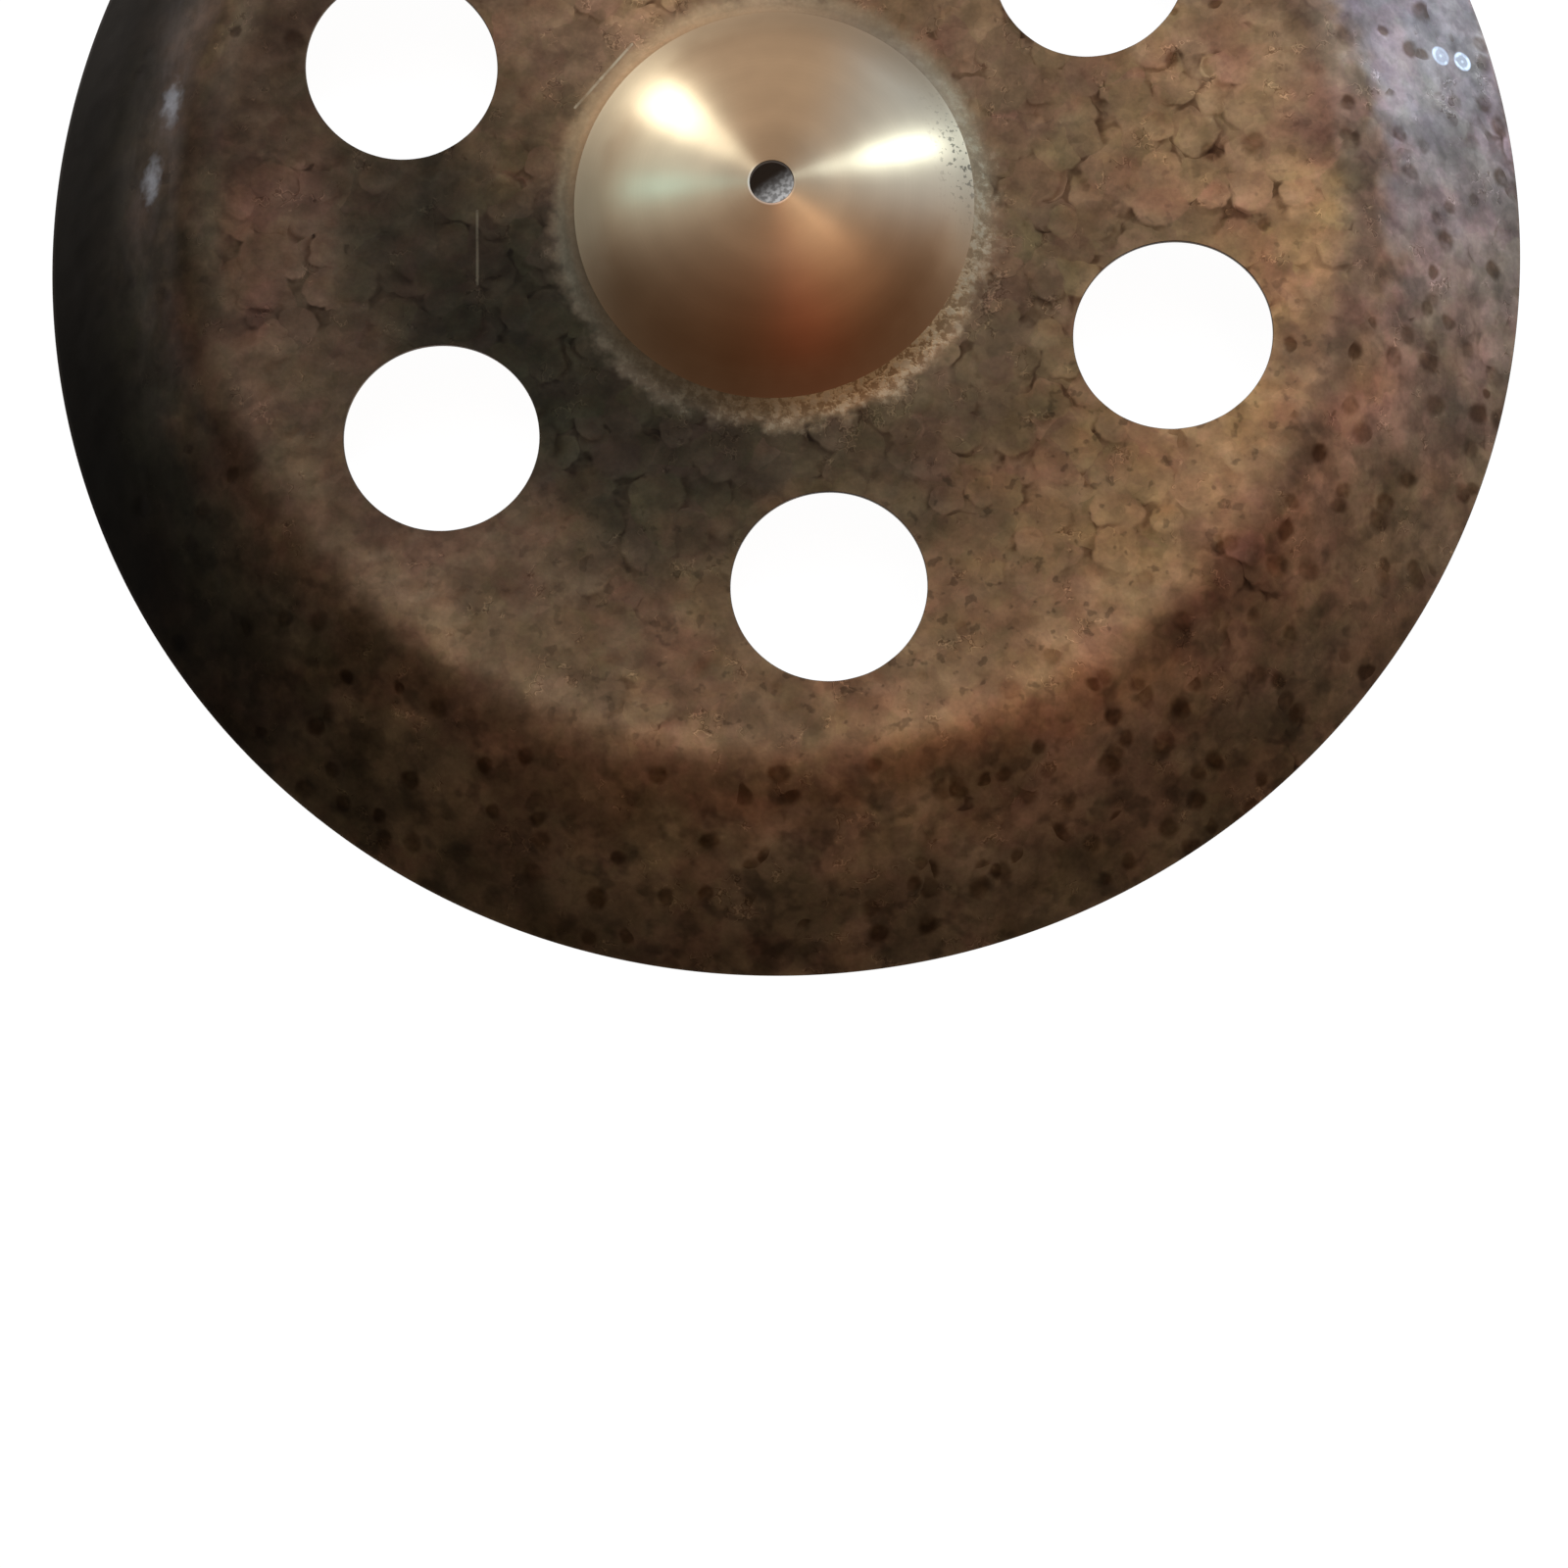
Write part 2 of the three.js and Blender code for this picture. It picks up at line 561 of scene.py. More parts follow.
@dataclass(frozen=True)
class HammerWork:
    """The hammer marks over the sheet: broad facets, round dimples and a slow waviness.

    Every plain length here is an input of the Geometry Nodes tree.
    """

    facet_pitch: float = 0.0130
    facet_depth: float = 0.00020
    dimple_pitch: float = 0.0125
    dimple_radius: float = 0.0031
    dimple_depth: float = 0.00012
    waviness: float = 0.00022
    foot_roughness: float = 0.00006
    lathe_limit: float = 0.0595
    foot_limit: float = 0.0675
    ridge_radius: float = SheetProfile.ridge[0]
    rim_radius: float = SheetProfile.rim_radius
    bend_reach: float = 0.0035
    seed: int = 7
    seed_step: Triple = (0.137, 0.071, 0.0)
    blow_shifts: tuple[float, ...] = (0.0, 2.3, 5.1)
    blow_reach: Span = (0.38, 0.60)
    blow_depths: Span = (0.6, 1.4)
    dimple_layers: tuple[tuple[float, float], ...] = ((0.0, 1.0), (3.1, 1.45))
    bow_dimples: Ramp = (0.085, 0.140, 0.0, 0.16)
    flange_dimples: Ramp = (0.165, 0.190, 0.0, 0.30)
    dimpled_side: Patch = Patch(-30, 1.6)
    dimple_groups: Ramp = (0.35, 0.62, 0.45, 1.45)
    dimple_sizes: Span = (0.78, 1.22)
    clusters: Grain = Grain(0.030, 1.0, shift=1.7)
    bend: Grain = Grain(0.012, 1.0)
    waves: Grain = Grain(0.055, 1.0)
    grit: Grain = Grain(0.0035)

    def mark_place(self, bench: NodeBench, seed: Entry, reach: Entry) -> Socket:
        """The place at which marks are read: moved by the seed and bent a little."""
        moved = bench.vector("ADD", bench.place, bench.scaled(self.seed_step, seed))
        return bench.nudged(moved, bench.noise(self.bend, moved), reach)

    def dimples(
        self, bench: NodeBench, marks: Socket, pitch: Entry, radius: Entry
    ) -> list[tuple[Socket, Socket]]:
        """The layers of round dimples, denser on the flange and towards the right.

        Args:
            bench: The tree to build in.
            marks: Where the marks are read.
            pitch: The mean distance between the dimples of the first layer.
            radius: The radius of a mean dimple.

        Returns:
            For each layer: how far out of a dimple a point is, with 1 at the dimple's edge and more
            where there is none, and a random share for each dimple.
        """
        bow = bench.rise(bench.out, *self.bow_dimples)
        flange = bench.rise(bench.out, *self.flange_dimples)
        side = bench.total(self.dimpled_side.mask(bench), 0.50)
        density = bench.product(bench.total(bow, flange), side)
        found = []
        for shift, spacing in self.dimple_layers:
            spot, apart = bench.shifted(marks, shift), bench.product(pitch, spacing)
            distance, (chance, size, depth), _ = bench.cells(spot, apart)
            group = bench.rise(bench.noise(self.clusters, spot), *self.dimple_groups)
            spare = bench.math("SUBTRACT", bench.product(density, group), chance)
            there = bench.rise(bench.rise(spare, 0.0, 0.08), 0.0, 0.9)
            reach = bench.product(radius, bench.rise(size, 0.0, 1.0, *self.dimple_sizes), there)
            reach = bench.math("MAXIMUM", reach, TINY)
            found.append((bench.math("DIVIDE", bench.product(distance, apart), reach), depth))
        return found

    def blows(self, bench: NodeBench, marks: Socket, pitch: Entry) -> list[tuple[Socket, ...]]:
        """The broad hammer blows in layers, each of which flattens what it lands on.

        Args:
            bench: The tree to build in.
            marks: Where the marks are read.
            pitch: The mean distance between the blows of one layer.

        Returns:
            For each layer: how far out of the nearest blow a point is, with 1 at the blow's edge,
            two random shares for the blow, and the point's offset from the blow's middle.
        """
        found = []
        for shift in self.blow_shifts:
            spot = bench.shifted(marks, shift)
            distance, (tone, hue, size), middle = bench.cells(spot, pitch)
            outness = bench.math("DIVIDE", distance, bench.rise(size, 0.0, 1.0, *self.blow_reach))
            found.append((outness, tone, hue, bench.vector("SUBTRACT", spot, middle)))
        return found

    def lengths(self) -> dict[str, float]:
        """The lengths that the tree takes as inputs, by their names there."""
        plain = [entry.name for entry in fields(self) if entry.type is float]
        return {name.replace("_", " ").capitalize(): getattr(self, name) for name in plain}

    def tree(self) -> bpy.types.NodeTree:
        """Build the Geometry Nodes tree that hammers the sheet and gives out its finishes.

        Returns:
            The tree, with named inputs for its sizes.
        """
        tree = bpy.data.node_groups.new("hammer_work", "GeometryNodeTree")
        tree.interface.new_socket("Sheet", in_out="OUTPUT", socket_type="NodeSocketGeometry")
        inputs = [("Sheet", "Geometry"), *((name, "Float") for name in self.lengths())]
        inputs.append(("Seed", "Int"))
        inputs += [(f"Finish {zone.name}", "Material") for zone in Zone]
        for name, kind in inputs:
            tree.interface.new_socket(name, in_out="INPUT", socket_type=f"NodeSocket{kind}")
        bench = NodeBench(tree, Source.MESH)
        entry = bench.node("NodeGroupInput").outputs
        up = self.attribute(bench, "sheet_up", "FLOAT_VECTOR")
        moved = bench.node("GeometryNodeSetPosition", entry["Sheet"])
        bench.feed(moved.inputs["Offset"], bench.scaled(up, self.height(bench, entry)))
        dressed = bench.node("GeometryNodeRealizeInstances", moved.outputs[0]).outputs[0]
        for zone in Zone:
            chosen = bench.node("FunctionNodeCompare", data_type="INT", operation="EQUAL")
            bench.feed(chosen.inputs[2], self.attribute(bench, "zone", "INT"))
            bench.feed(chosen.inputs[3], int(zone))
            parts = (dressed, chosen.outputs[0], entry[f"Finish {zone.name}"])
            dressed = bench.node("GeometryNodeSetMaterial", *parts).outputs[0]
        bench.node("NodeGroupOutput", dressed)
        return tree

    @staticmethod
    def attribute(bench: NodeBench, name: str, kind: str) -> Socket:
        """Read a named attribute of the sheet."""
        return bench.node("GeometryNodeInputNamedAttribute", name, data_type=kind).outputs[0]

    def height(self, bench: NodeBench, entry: bpy.types.bpy_prop_collection) -> Socket:
        """How far each point of the sheet moves along the direction square to it.

        Args:
            bench: The tree to build in.
            entry: The tree's inputs.

        Returns:
            The height, with hollows below zero.
        """
        def near(
            limit: str, before: float, after: float, start: float = 0.0, end: float = 1.0
        ) -> Socket:
            """Pass from one level to another round a limit of the sheet."""
            low, high = bench.total(entry[limit], before), bench.total(entry[limit], after)
            return bench.rise(bench.out, low, high, start, end)

        side = self.attribute(bench, "upper_share", "FLOAT")
        marks = self.mark_place(bench, entry["Seed"], entry["Bend reach"])
        level: Entry = 0.0
        for outness, tone, _, _ in self.blows(bench, marks, entry["Facet pitch"]):
            bowl = bench.math("SUBTRACT", bench.product(outness, outness), 1.0)
            bowl = bench.product(bowl, bench.rise(tone, 0.0, 1.0, *self.blow_depths))
            inside = bench.fall(outness, 0.80, 1.0)
            kept, struck = bench.product(level, bench.rest(inside)), bench.product(bowl, inside)
            level = bench.total(kept, struck)
        calmer = near("Ridge radius", -0.02, 0.0, 1.0, 0.45)
        facets = bench.product(level, entry["Facet depth"], calmer)
        layers = self.dimples(bench, marks, entry["Dimple pitch"], entry["Dimple radius"])
        bowls = (self.dented(bench, outness, depth) for outness, depth in layers)
        dents = bench.product(bench.math("MAXIMUM", *bowls), entry["Dimple depth"], -1.0)
        work = bench.product(bench.total(facets, dents), side)
        slow = bench.product(self.swing(bench, self.waves, marks), entry["Waviness"])
        body = bench.product(bench.total(work, slow), near("Foot limit", 0.0, 0.01))
        body = bench.product(body, near("Rim radius", -0.012, -0.001, 1.0, 0.0))
        band = near("Foot limit", 0.0, 0.004, 1.0, 0.0)
        band = bench.product(near("Lathe limit", 0.0, 0.002), band)
        grit = self.swing(bench, self.grit, marks)
        grit = bench.product(grit, entry["Foot roughness"], band, side)
        return bench.total(body, grit)

    @staticmethod
    def swing(bench: NodeBench, grain: Grain, place: Socket) -> Socket:
        """Noise that swings evenly to both sides of 0."""
        return bench.product(bench.math("SUBTRACT", bench.noise(grain, place), 0.5), 2.0)

    @staticmethod
    def dented(bench: NodeBench, outness: Socket, depth: Socket) -> Socket:
        """A dimple's bowl with its own depth, from about half to one and a half."""
        bowl = bench.fall(outness, 0.15, 1.05)
        return bench.product(bowl, bench.total(bench.product(depth, 0.9), 0.5))


class Finish:
    """The common make of every finish: one Principled shader in one material."""

    name: str
    metal: float

    def start(self) -> tuple[bpy.types.Material, NodeBench, bpy.types.Node]:
        """Open a new material.

        Returns:
            The material, its bench and its shader.
        """
        material = bpy.data.materials.new(self.name)
        material.use_nodes = True
        shader = material.node_tree.nodes["Principled BSDF"]
        return material, NodeBench(material.node_tree, Source.PIECE), shader

    def dress(self, bench: NodeBench, shader: bpy.types.Node, **entries: object) -> None:
        """Fill the shader's inputs, named as in the shader with _ for a space, and its metal."""
        for name, entry in {"Metallic": self.metal, **entries}.items():
            bench.feed(shader.inputs[name.replace("_", " ")], entry)

    @staticmethod
    def relief(
        bench: NodeBench, shader: bpy.types.Node, height: Socket, depth: float, strength: float
    ) -> None:
        """Add fine relief to the shader.

        Args:
            bench: The tree to build in.
            shader: The Principled shader.
            height: The height from 0 to 1.
            depth: The depth that a height of 1 stands for.
            strength: How much of it shows.
        """
        bump = bench.node("ShaderNodeBump")
        for name, value in (("Strength", strength), ("Distance", depth), ("Height", height)):
            bench.feed(bump.inputs[name], value)
        for link in shader.inputs["Normal"].links:
            bench.feed(bump.inputs["Normal"], link.from_socket)
        bench.feed(shader.inputs["Normal"], bump.outputs[0])


@dataclass(frozen=True)
class LathedBronze(Finish):
    """The bell: bronze turned on a lathe to a satin shine, with fine rings round the axis."""

    name: str = "lathed_bronze"
    champagne: Colour = linear(166, 137, 107)
    haze: Colour = linear(153, 128, 101)
    pit: Colour = linear(64, 52, 42)
    # Painted reflection: darker, redder copper over the lower part of the bell.
    glow: Touch = Touch(
        -78, 4.0, comes=(0.010, 0.045), paint=linear(143, 99, 69), blend=Blend.COVER
    )
    # Painted highlight: a pale thin edge at the lower left of the mounting hole.
    burr: Touch = Touch(
        -118, 2.0, 0.8, goes=(0.0066, 0.0072), paint=linear(240, 222, 205), blend=Blend.COVER
    )
    worn: Patch = Patch(13, 60.0, 0.8, comes=(0.047, 0.056))
    haze_span: Span = (0.0480, 0.0590)
    haze_fray: float = 0.0015
    seat_span: Span = (0.013, 0.022)
    rings: Grain = Grain(0.0007, 2.0, 0.7)
    broad_rings: Grain = Grain(0.011, 1.0)
    cloud: Grain = Grain(0.016, 3.0, 0.55)
    speck: Grain = Grain(0.0017, 2.0, 0.6, 4.4)
    roughness: float = 0.278
    metal: float = 1.0
    anisotropy: float = 0.8
    seat_limit: float = 0.0118
    seat_round: float = 0.003
    seat_slope: float = 0.10

    def make(self) -> bpy.types.Material:
        """Build the material.

        Returns:
            The finished material.
        """
        material, bench, shader = self.start()
        x, y, _ = bench.parts(bench.place)
        turned = bench.noise(self.rings, bench.flat(bench.out))
        broad = bench.noise(self.broad_rings, bench.flat(bench.out))
        cloud = bench.noise(self.cloud)
        frayed = bench.total(bench.out, bench.spread(cloud, -self.haze_fray, self.haze_fray))
        edge = bench.product(
            bench.rise(frayed, *self.haze_span), bench.rise(bench.toward(90), 0.15, 0.60, 0.25, 1.0)
        )
        # Painted light: the haze lighter towards the top.
        haze = bench.scaled(self.haze, bench.rise(bench.toward(112, 3.0), 0.3, 1.0, 1.0, 1.32))
        # Painted reflection on the lower part of the bell.
        colour = touched(bench, self.champagne, (self.glow,))
        colour = bench.mix(bench.product(edge, 0.9), colour, haze)
        # Painted shade: darker round the seat, most towards the top.
        far = bench.rise(bench.toward(90), 0.25, 0.60)
        seat = bench.product(bench.fall(bench.out, *self.seat_span), far, 0.17)
        colour = touched(bench, bench.scaled(colour, bench.rest(seat)), (self.burr,))
        shade = bench.product(
            bench.spread(broad, 0.96, 1.03),
            bench.spread(turned, 0.985, 1.015),
            bench.spread(cloud, 0.96, 1.04),
        )
        pits = bench.product(self.worn.mask(bench), bench.rise(bench.noise(self.speck), 0.56, 0.62))
        colour = bench.mix(pits, bench.scaled(colour, shade), self.pit)
        streak = bench.rise(bench.toward(16, 30.0), 0.0, 1.0, 0.22, 0.08)
        self.dress(
            bench, shader, Base_Color=colour, Anisotropic=self.anisotropy,
            Roughness=bench.total(bench.product(edge, streak), self.roughness),
            Tangent=bench.vector("NORMALIZE", bench.flat(x, y)),
        )
        dome = bench.math("SMOOTH_MIN", bench.out, self.seat_limit, self.seat_round)
        self.relief(bench, shader, bench.product(dome, -self.seat_slope), 1.0, 1.0)
        self.relief(bench, shader, turned, 0.000005, 0.04)
        return material


@dataclass(frozen=True)
class HammeredPatina(Finish):
    """The bow and flange: fired brown patina over hammered bronze, with painted light, shade, sheen
    and highlights in its colours.
    """

    work: HammerWork
    name: str = "hammered_patina"
    smoke: Colour = linear(104, 85, 65)
    tan: Colour = linear(127, 98, 75)
    night: Colour = linear(40, 36, 27)
    gold: Colour = linear(134, 103, 73)
    fired: Colour = linear(77, 61, 47)
    umber: Colour = linear(99, 80, 60)
    soot: Colour = linear(38, 31, 22)
    moss: Colour = linear(37, 37, 27)
    bloom: Colour = linear(150, 136, 130)
    scorch: Colour = linear(93, 69, 55)
    foot: Colour = linear(153, 124, 94)
    foot_shade: Colour = linear(94, 79, 63)
    foot_dusk: Colour = (0.54, 0.47, 0.42)
    crumb: Colour = linear(176, 158, 130)
    silver: Colour = linear(188, 188, 194)
    mirror: Colour = (0.85, 0.84, 0.86)
    olive: Colour = (0.91, 0.97, 0.80)
    mauve: Colour = (1.05, 0.89, 0.95)
    rust: Colour = (1.10, 0.82, 0.66)
    plum: Colour = (1.04, 0.84, 0.92)
    warmth: Colour = (1.02, 0.965, 0.92)
    film: Colour = (0.82, 0.77, 0.73)
    blot: Colour = (0.42, 0.35, 0.29)
    outline: Colour = (0.42, 0.34, 0.28)
    roughness: float = 0.46
    metal: float = 0.92

    # Round the bell, by heading: the patina's own tones with painted light and shade, lighter smoke
    # to the right and tan to the upper left and upper right over the dark night colour.
    near_bell: tuple[Touch, ...] = (
        Touch(-5, 2.5, paint=smoke, blend=Blend.COVER),
        Touch(124, 12.0, paint=tan, blend=Blend.COVER),
        Touch(42, 12.0, 0.6, paint=tan, blend=Blend.COVER),
        Touch(155, 20.0, 0.20, goes=(0.084, 0.104), paint=tan, blend=Blend.COVER),
    )
    # Near the ridge, by heading: gold towards the lower right over the darker fired colour, partly
    # the patina and partly painted light, with a painted lighter band at -42, painted shade at 165
    # and a painted cool light at 26.
    near_ridge: tuple[Touch, ...] = (
        Touch(-8, 2.2, paint=gold, blend=Blend.COVER),
        Touch(-42, 10.0, comes=(0.135, 0.155), paint=grey(1.16)),
        Touch(165, 8.0, 0.55, before=0.20, comes=(0.135, 0.165), paint=(0.15, 0.03, 0.0)),
        Touch(26, 20.0, comes=(0.105, 0.130), paint=(1.05, 1.12, 1.26)),
    )
    # Painted shade: darker brown on the right, just inside the ridge.
    scorched: Touch = Touch(2, 6.0, 0.85, comes=(0.150, 0.166), paint=scorch, blend=Blend.COVER)
    # Painted shade across the middle of the bow at -45, 180 and 10, and painted light at -118.
    mid_bow: tuple[Touch, ...] = (
        Touch(-45, 7.0, comes=(0.068, 0.082), goes=(0.115, 0.145), paint=grey(0.84)),
        Touch(180, 8.0, comes=(0.068, 0.082), goes=(0.115, 0.145), paint=grey(0.74)),
        Touch(10, 6.0, comes=(0.068, 0.082), goes=(0.115, 0.145), paint=grey(0.97)),
        Touch(-118, 12.0, comes=(0.080, 0.100), paint=grey(1.26)),
    )
    # On the flange: the fired colour to the left, partly the patina and partly painted shade;
    # painted light at -80, -24 and -124, painted shade at -60 and painted shade towards the rim at
    # the bottom.
    on_flange: tuple[Touch, ...] = (
        Touch(180, 4.0, paint=fired, blend=Blend.COVER),
        Touch(-80, 24.0, paint=(1.50, 1.60, 1.72)),
        Touch(-24, 20.0, paint=grey(1.24)),
        Touch(-60, 40.0, paint=grey(0.88)),
        Touch(-124, 40.0, paint=(1.12, 1.18, 1.14)),
        Touch(-105, 2.0, comes=(0.194, 0.214), paint=grey(0.66)),
    )
    ridge_plum: Touch = Touch(-32, 9.0, 0.70, comes=(0.168, 0.177), goes=(0.186, 0.204), paint=plum)
    # Painted sheen: a pale lilac-grey bloom over the right of the flange, partly the patina's own
    # colour.
    right_bloom: Touch = Touch(24, 15.0, comes=(0.170, 0.190), paint=bloom, blend=Blend.COVER)
    # Painted highlight: a patchy lighter band along the ridge towards the lower left.
    crest: Patch = Patch(-112, 3.0, comes=(0.150, 0.168), goes=(0.170, 0.190))
    late_gold: Patch = Patch(180, 3.0, 0.012)
    late_flange: Patch = Patch(-108, 3.0, 0.013)
    early_flange: Patch = Patch(5, 4.0, 0.001)
    gold_span: Span = (0.078, 0.150)
    flange_span: Span = (0.166, 0.182)
    flange_levels: Ramp = (0.174, 0.208, 1.50, 1.02)
    soot_levels: Ramp = (0.180, 0.219, 1.7, 0.10)
    crest_levels: Ramp = (0.40, 0.60, 0.72, 0.44)
    drift: Grain = Grain(0.030, 3.0, 0.6)
    drift_reach: float = 0.06
    drift_out: float = 0.008

    hue_layers: tuple[tuple[Grain, Colour, float], ...] = (
        (Grain(0.030, 3.0, 0.6, 0.9), olive, 0.36), (Grain(0.026, 3.0, 0.6, 2.2), mauve, 0.65),
        (Grain(0.020, 3.0, 0.6, 4.7), rust, 0.08),
    )
    blotch: Grain = Grain(0.020, 3.0, 0.6, 8.3)
    blotch_swing: Ramp = (0.36, 0.64, 1.0, -1.0)
    blotch_depths: Ramp = (0.150, 0.180, 0.14, 0.26)
    cloud: Grain = Grain(0.009, 3.0, 0.65, 6.1)
    cloud_levels: Ramp = (0.34, 0.66, 0.85, 1.15)
    stain: Grain = Grain(0.0085, 2.0, 0.55, 5.2)
    stained: Patch = Patch(-85, 1.5, 0.30, comes=(0.160, 0.180))
    spot: Grain = Grain(0.0044, 2.0, 0.5, 3.3)
    spotted: Patch = Patch(-62, 2.0, 0.42, comes=(0.080, 0.105), goes=(0.160, 0.178))
    fleck_pitch: float = 0.0030

    fray: Grain = Grain(0.004, 1.0, shift=1.1)
    fleck_fray: float = 0.0022
    facet_fray: float = 0.0026
    dimple_fray: float = 0.0014

    facet_groups: Grain = Grain(0.040, 2.0, 0.5, 3.9)
    faceted: Patch = Patch(0, 3.0, 0.16)
    facets_inward: Ramp = (0.085, 0.165, 0.10, -0.18)
    facet_shares: Ramp = (0.42, 0.62, 0.15, 1.0)
    breaks: Grain = Grain(0.013, 3.0, 0.6, 7.7)
    break_shares: Ramp = (0.42, 0.60, 0.10, 1.0)
    pale_facets: Spot = (-0.1447, -0.0150)
    uneven: Grain = Grain(0.006, 2.0, 0.6, 9.4)
    uneven_shares: Ramp = (0.36, 0.60, 0.62, 1.0)
    calm: Patch = Patch(-105, 3.0, 0.85, goes=(0.152, 0.168))

    speck: Grain = Grain(0.0038, 2.0, 0.55, 6.6)
    crumb_groups: Grain = Grain(0.011, 2.0, 0.6, 2.9)
    crust: Patch = Patch(-42, 5.0, 0.14, comes=(0.066, 0.069), goes=(0.071, 0.078))
    spray: Spot = (0.2062, 0.0425)
    scratches: tuple[tuple[Spot, Spot, float], ...] = (
        ((-0.0599, 0.0314), (-0.0429, 0.0512), 0.6), ((-0.0887, -0.0010), (-0.0882, -0.0238), 0.12),
    )
    scratch_width: float = 0.0007
    bright_dimples: tuple[Spot, ...] = ((0.2024, 0.0501), (0.2106, 0.0506))
    # Two painted highlights on the left of the flange.
    rubbed_spots: tuple[Spot, ...] = ((-0.1824, 0.0340), (-0.1882, 0.0102))
    # A painted sheen down the left of the flange.
    smear: Grain = Grain(0.011, 3.0, 0.6)
    smear_shares: Ramp = (0.36, 0.66, 0.25, 1.0)
    smeared: Patch = Patch(172, 22.0, 0.20, comes=(0.175, 0.184), goes=(0.188, 0.208))

    foot_drift: Grain = Grain(0.008, 3.0, 0.6)
    crumbs: Grain = Grain(0.0026, 3.0, 0.65, 5.5)
    crusty: Patch = Patch(-52, 4.0, 0.75)
    # Painted light along the inner edge of the foot ring.
    ring_touches: tuple[Touch, ...] = (
        Touch(-76, 4.0, goes=(0.0625, 0.0665), paint=(1.34, 1.42, 1.32)),
        Touch(180, 3.0, goes=(0.0608, 0.0632), paint=grey(1.40)),
    )
    fine: Grain = Grain(0.0011, 3.0, 0.6)
    gloss: Grain = Grain(0.03, 3.0, 0.6, 1.3)

    def make(self) -> bpy.types.Material:
        """Build the material.

        Returns:
            The finished material.
        """
        material, bench, shader = self.start()
        marks = self.work.mark_place(bench, float(self.work.seed), self.work.bend_reach)
        colour = self.hues(bench, self.ground(bench))
        colour = self.facets(bench, marks, colour)
        colour, hollow = self.dimples(bench, marks, colour)
        colour, grit = self.foot_ring(bench, self.wear(bench, colour))
        fine = bench.noise(self.fine)
        gloss = bench.spread(bench.noise(self.gloss), -0.06, 0.06)
        self.dress(
            bench, shader, Base_Color=bench.scaled(colour, bench.spread(fine, 0.94, 1.06)),
            Roughness=bench.total(gloss, self.roughness, bench.product(hollow, -0.05)),
            Specular_Tint=self.film,
        )
        height = bench.total(bench.product(grit, 1.4), bench.product(fine, 0.4))
        self.relief(bench, shader, height, 0.00009, 0.5)
        return material

    def frayed(self, bench: NodeBench, place: Socket, reach: float) -> Socket:
        """A place pushed about at random within a few millimetres, for ragged edges."""
        return bench.nudged(place, bench.noise(self.fray), reach)

    def ground(self, bench: NodeBench) -> Socket:
        """The broad colours: smoke near the bell, gold at the ridge, umber and soot outside it,
        with painted light and shade by heading, a painted sheen on the right and a painted
        highlight along the ridge.

        Args:
            bench: The tree to build in.

        Returns:
            The colour.
        """
        drift = bench.noise(self.drift)
        bent = bench.nudged(bench.place, drift, self.drift_reach)
        wander = bench.total(bench.out, bench.spread(drift, -self.drift_out, self.drift_out))
        inner = touched(bench, self.night, self.near_bell, bent, wander)
        outer = touched(bench, self.fired, self.near_ridge, bent, wander)
        late = bench.math("SUBTRACT", wander, self.late_gold.mask(bench, bent))
        colour = bench.mix(bench.rise(late, *self.gold_span), inner, outer)
        colour = touched(bench, colour, (self.scorched,), bent, wander)
        colour = touched(bench, colour, self.mid_bow, bent)
        flange = bench.scaled(self.umber, bench.rise(bench.out, *self.flange_levels))
        flange = touched(bench, flange, self.on_flange, bent)
        early = bench.total(wander, self.early_flange.mask(bench, bent))
        early = bench.math("SUBTRACT", early, self.late_flange.mask(bench, bent))
        colour = bench.mix(bench.rise(early, *self.flange_span), colour, flange)
        colour = touched(bench, colour, (self.ridge_plum,), bent, wander)
        # Soot and moss over the left of the flange, darkest at the rim: partly the patina, partly
        # painted shade.
        left = bench.rise(bench.toward(178, place=bent), 0.72, 0.97)
        soot = bench.mix(bench.toward(-138, 8.0, bent), self.soot, self.moss)
        soot = bench.scaled(soot, bench.rise(bench.out, *self.soot_levels))
        colour = bench.mix(bench.product(left, bench.rise(wander, 0.172, 0.197)), colour, soot)
        colour = bench.tinted(colour, self.warmth)
        # Partly a painted sheen over the right of the flange.
        colour = touched(bench, colour, (self.right_bloom,), bent, wander)
        # Painted highlight along the ridge towards the lower left.
        patchy = bench.rise(drift, *self.crest_levels)
        crest = bench.product(self.crest.mask(bench, bent, wander), patchy)
        return bench.scaled(colour, bench.total(1.0, crest))

    def hues(self, bench: NodeBench, colour: Socket) -> Socket:
        """Patches of olive, mauve and rust, soft dark clouds, small dark spots and flecks.

        Args:
            bench: The tree to build in.
            colour: The colour below.

        Returns:
            The patched colour.
        """
        for grain, tint, most in self.hue_layers:
            share = bench.rise(bench.noise(grain), 0.47, 0.60, 0.0, most)
            colour = bench.tinted(colour, tint, share)
        depth = bench.rise(bench.out, *self.blotch_depths)
        swing = bench.product(bench.rise(bench.noise(self.blotch), *self.blotch_swing), depth)
        cloud = bench.rise(bench.noise(self.cloud), *self.cloud_levels)
        low = bench.total(self.stained.mask(bench), 0.10)
        stains = bench.product(bench.rise(bench.noise(self.stain), 0.50, 0.66), low)
        spots = bench.rise(bench.noise(self.spot), 0.60, 0.68)
        spots = bench.product(spots, self.spotted.mask(bench))
        shade = bench.product(bench.total(swing, 1.0), cloud, bench.rest(stains), bench.rest(spots))
        flecks = self.frayed(bench, bench.place, self.fleck_fray)
        _, (tone, hue, _), _ = bench.cells(flecks, self.fleck_pitch)
        colour = bench.scaled(colour, shade)
        colour = bench.tinted(colour, bench.mix(hue, self.olive, self.mauve), 0.22)
        return bench.scaled(colour, bench.rise(tone, 0.0, 1.0, 0.97, 1.13))

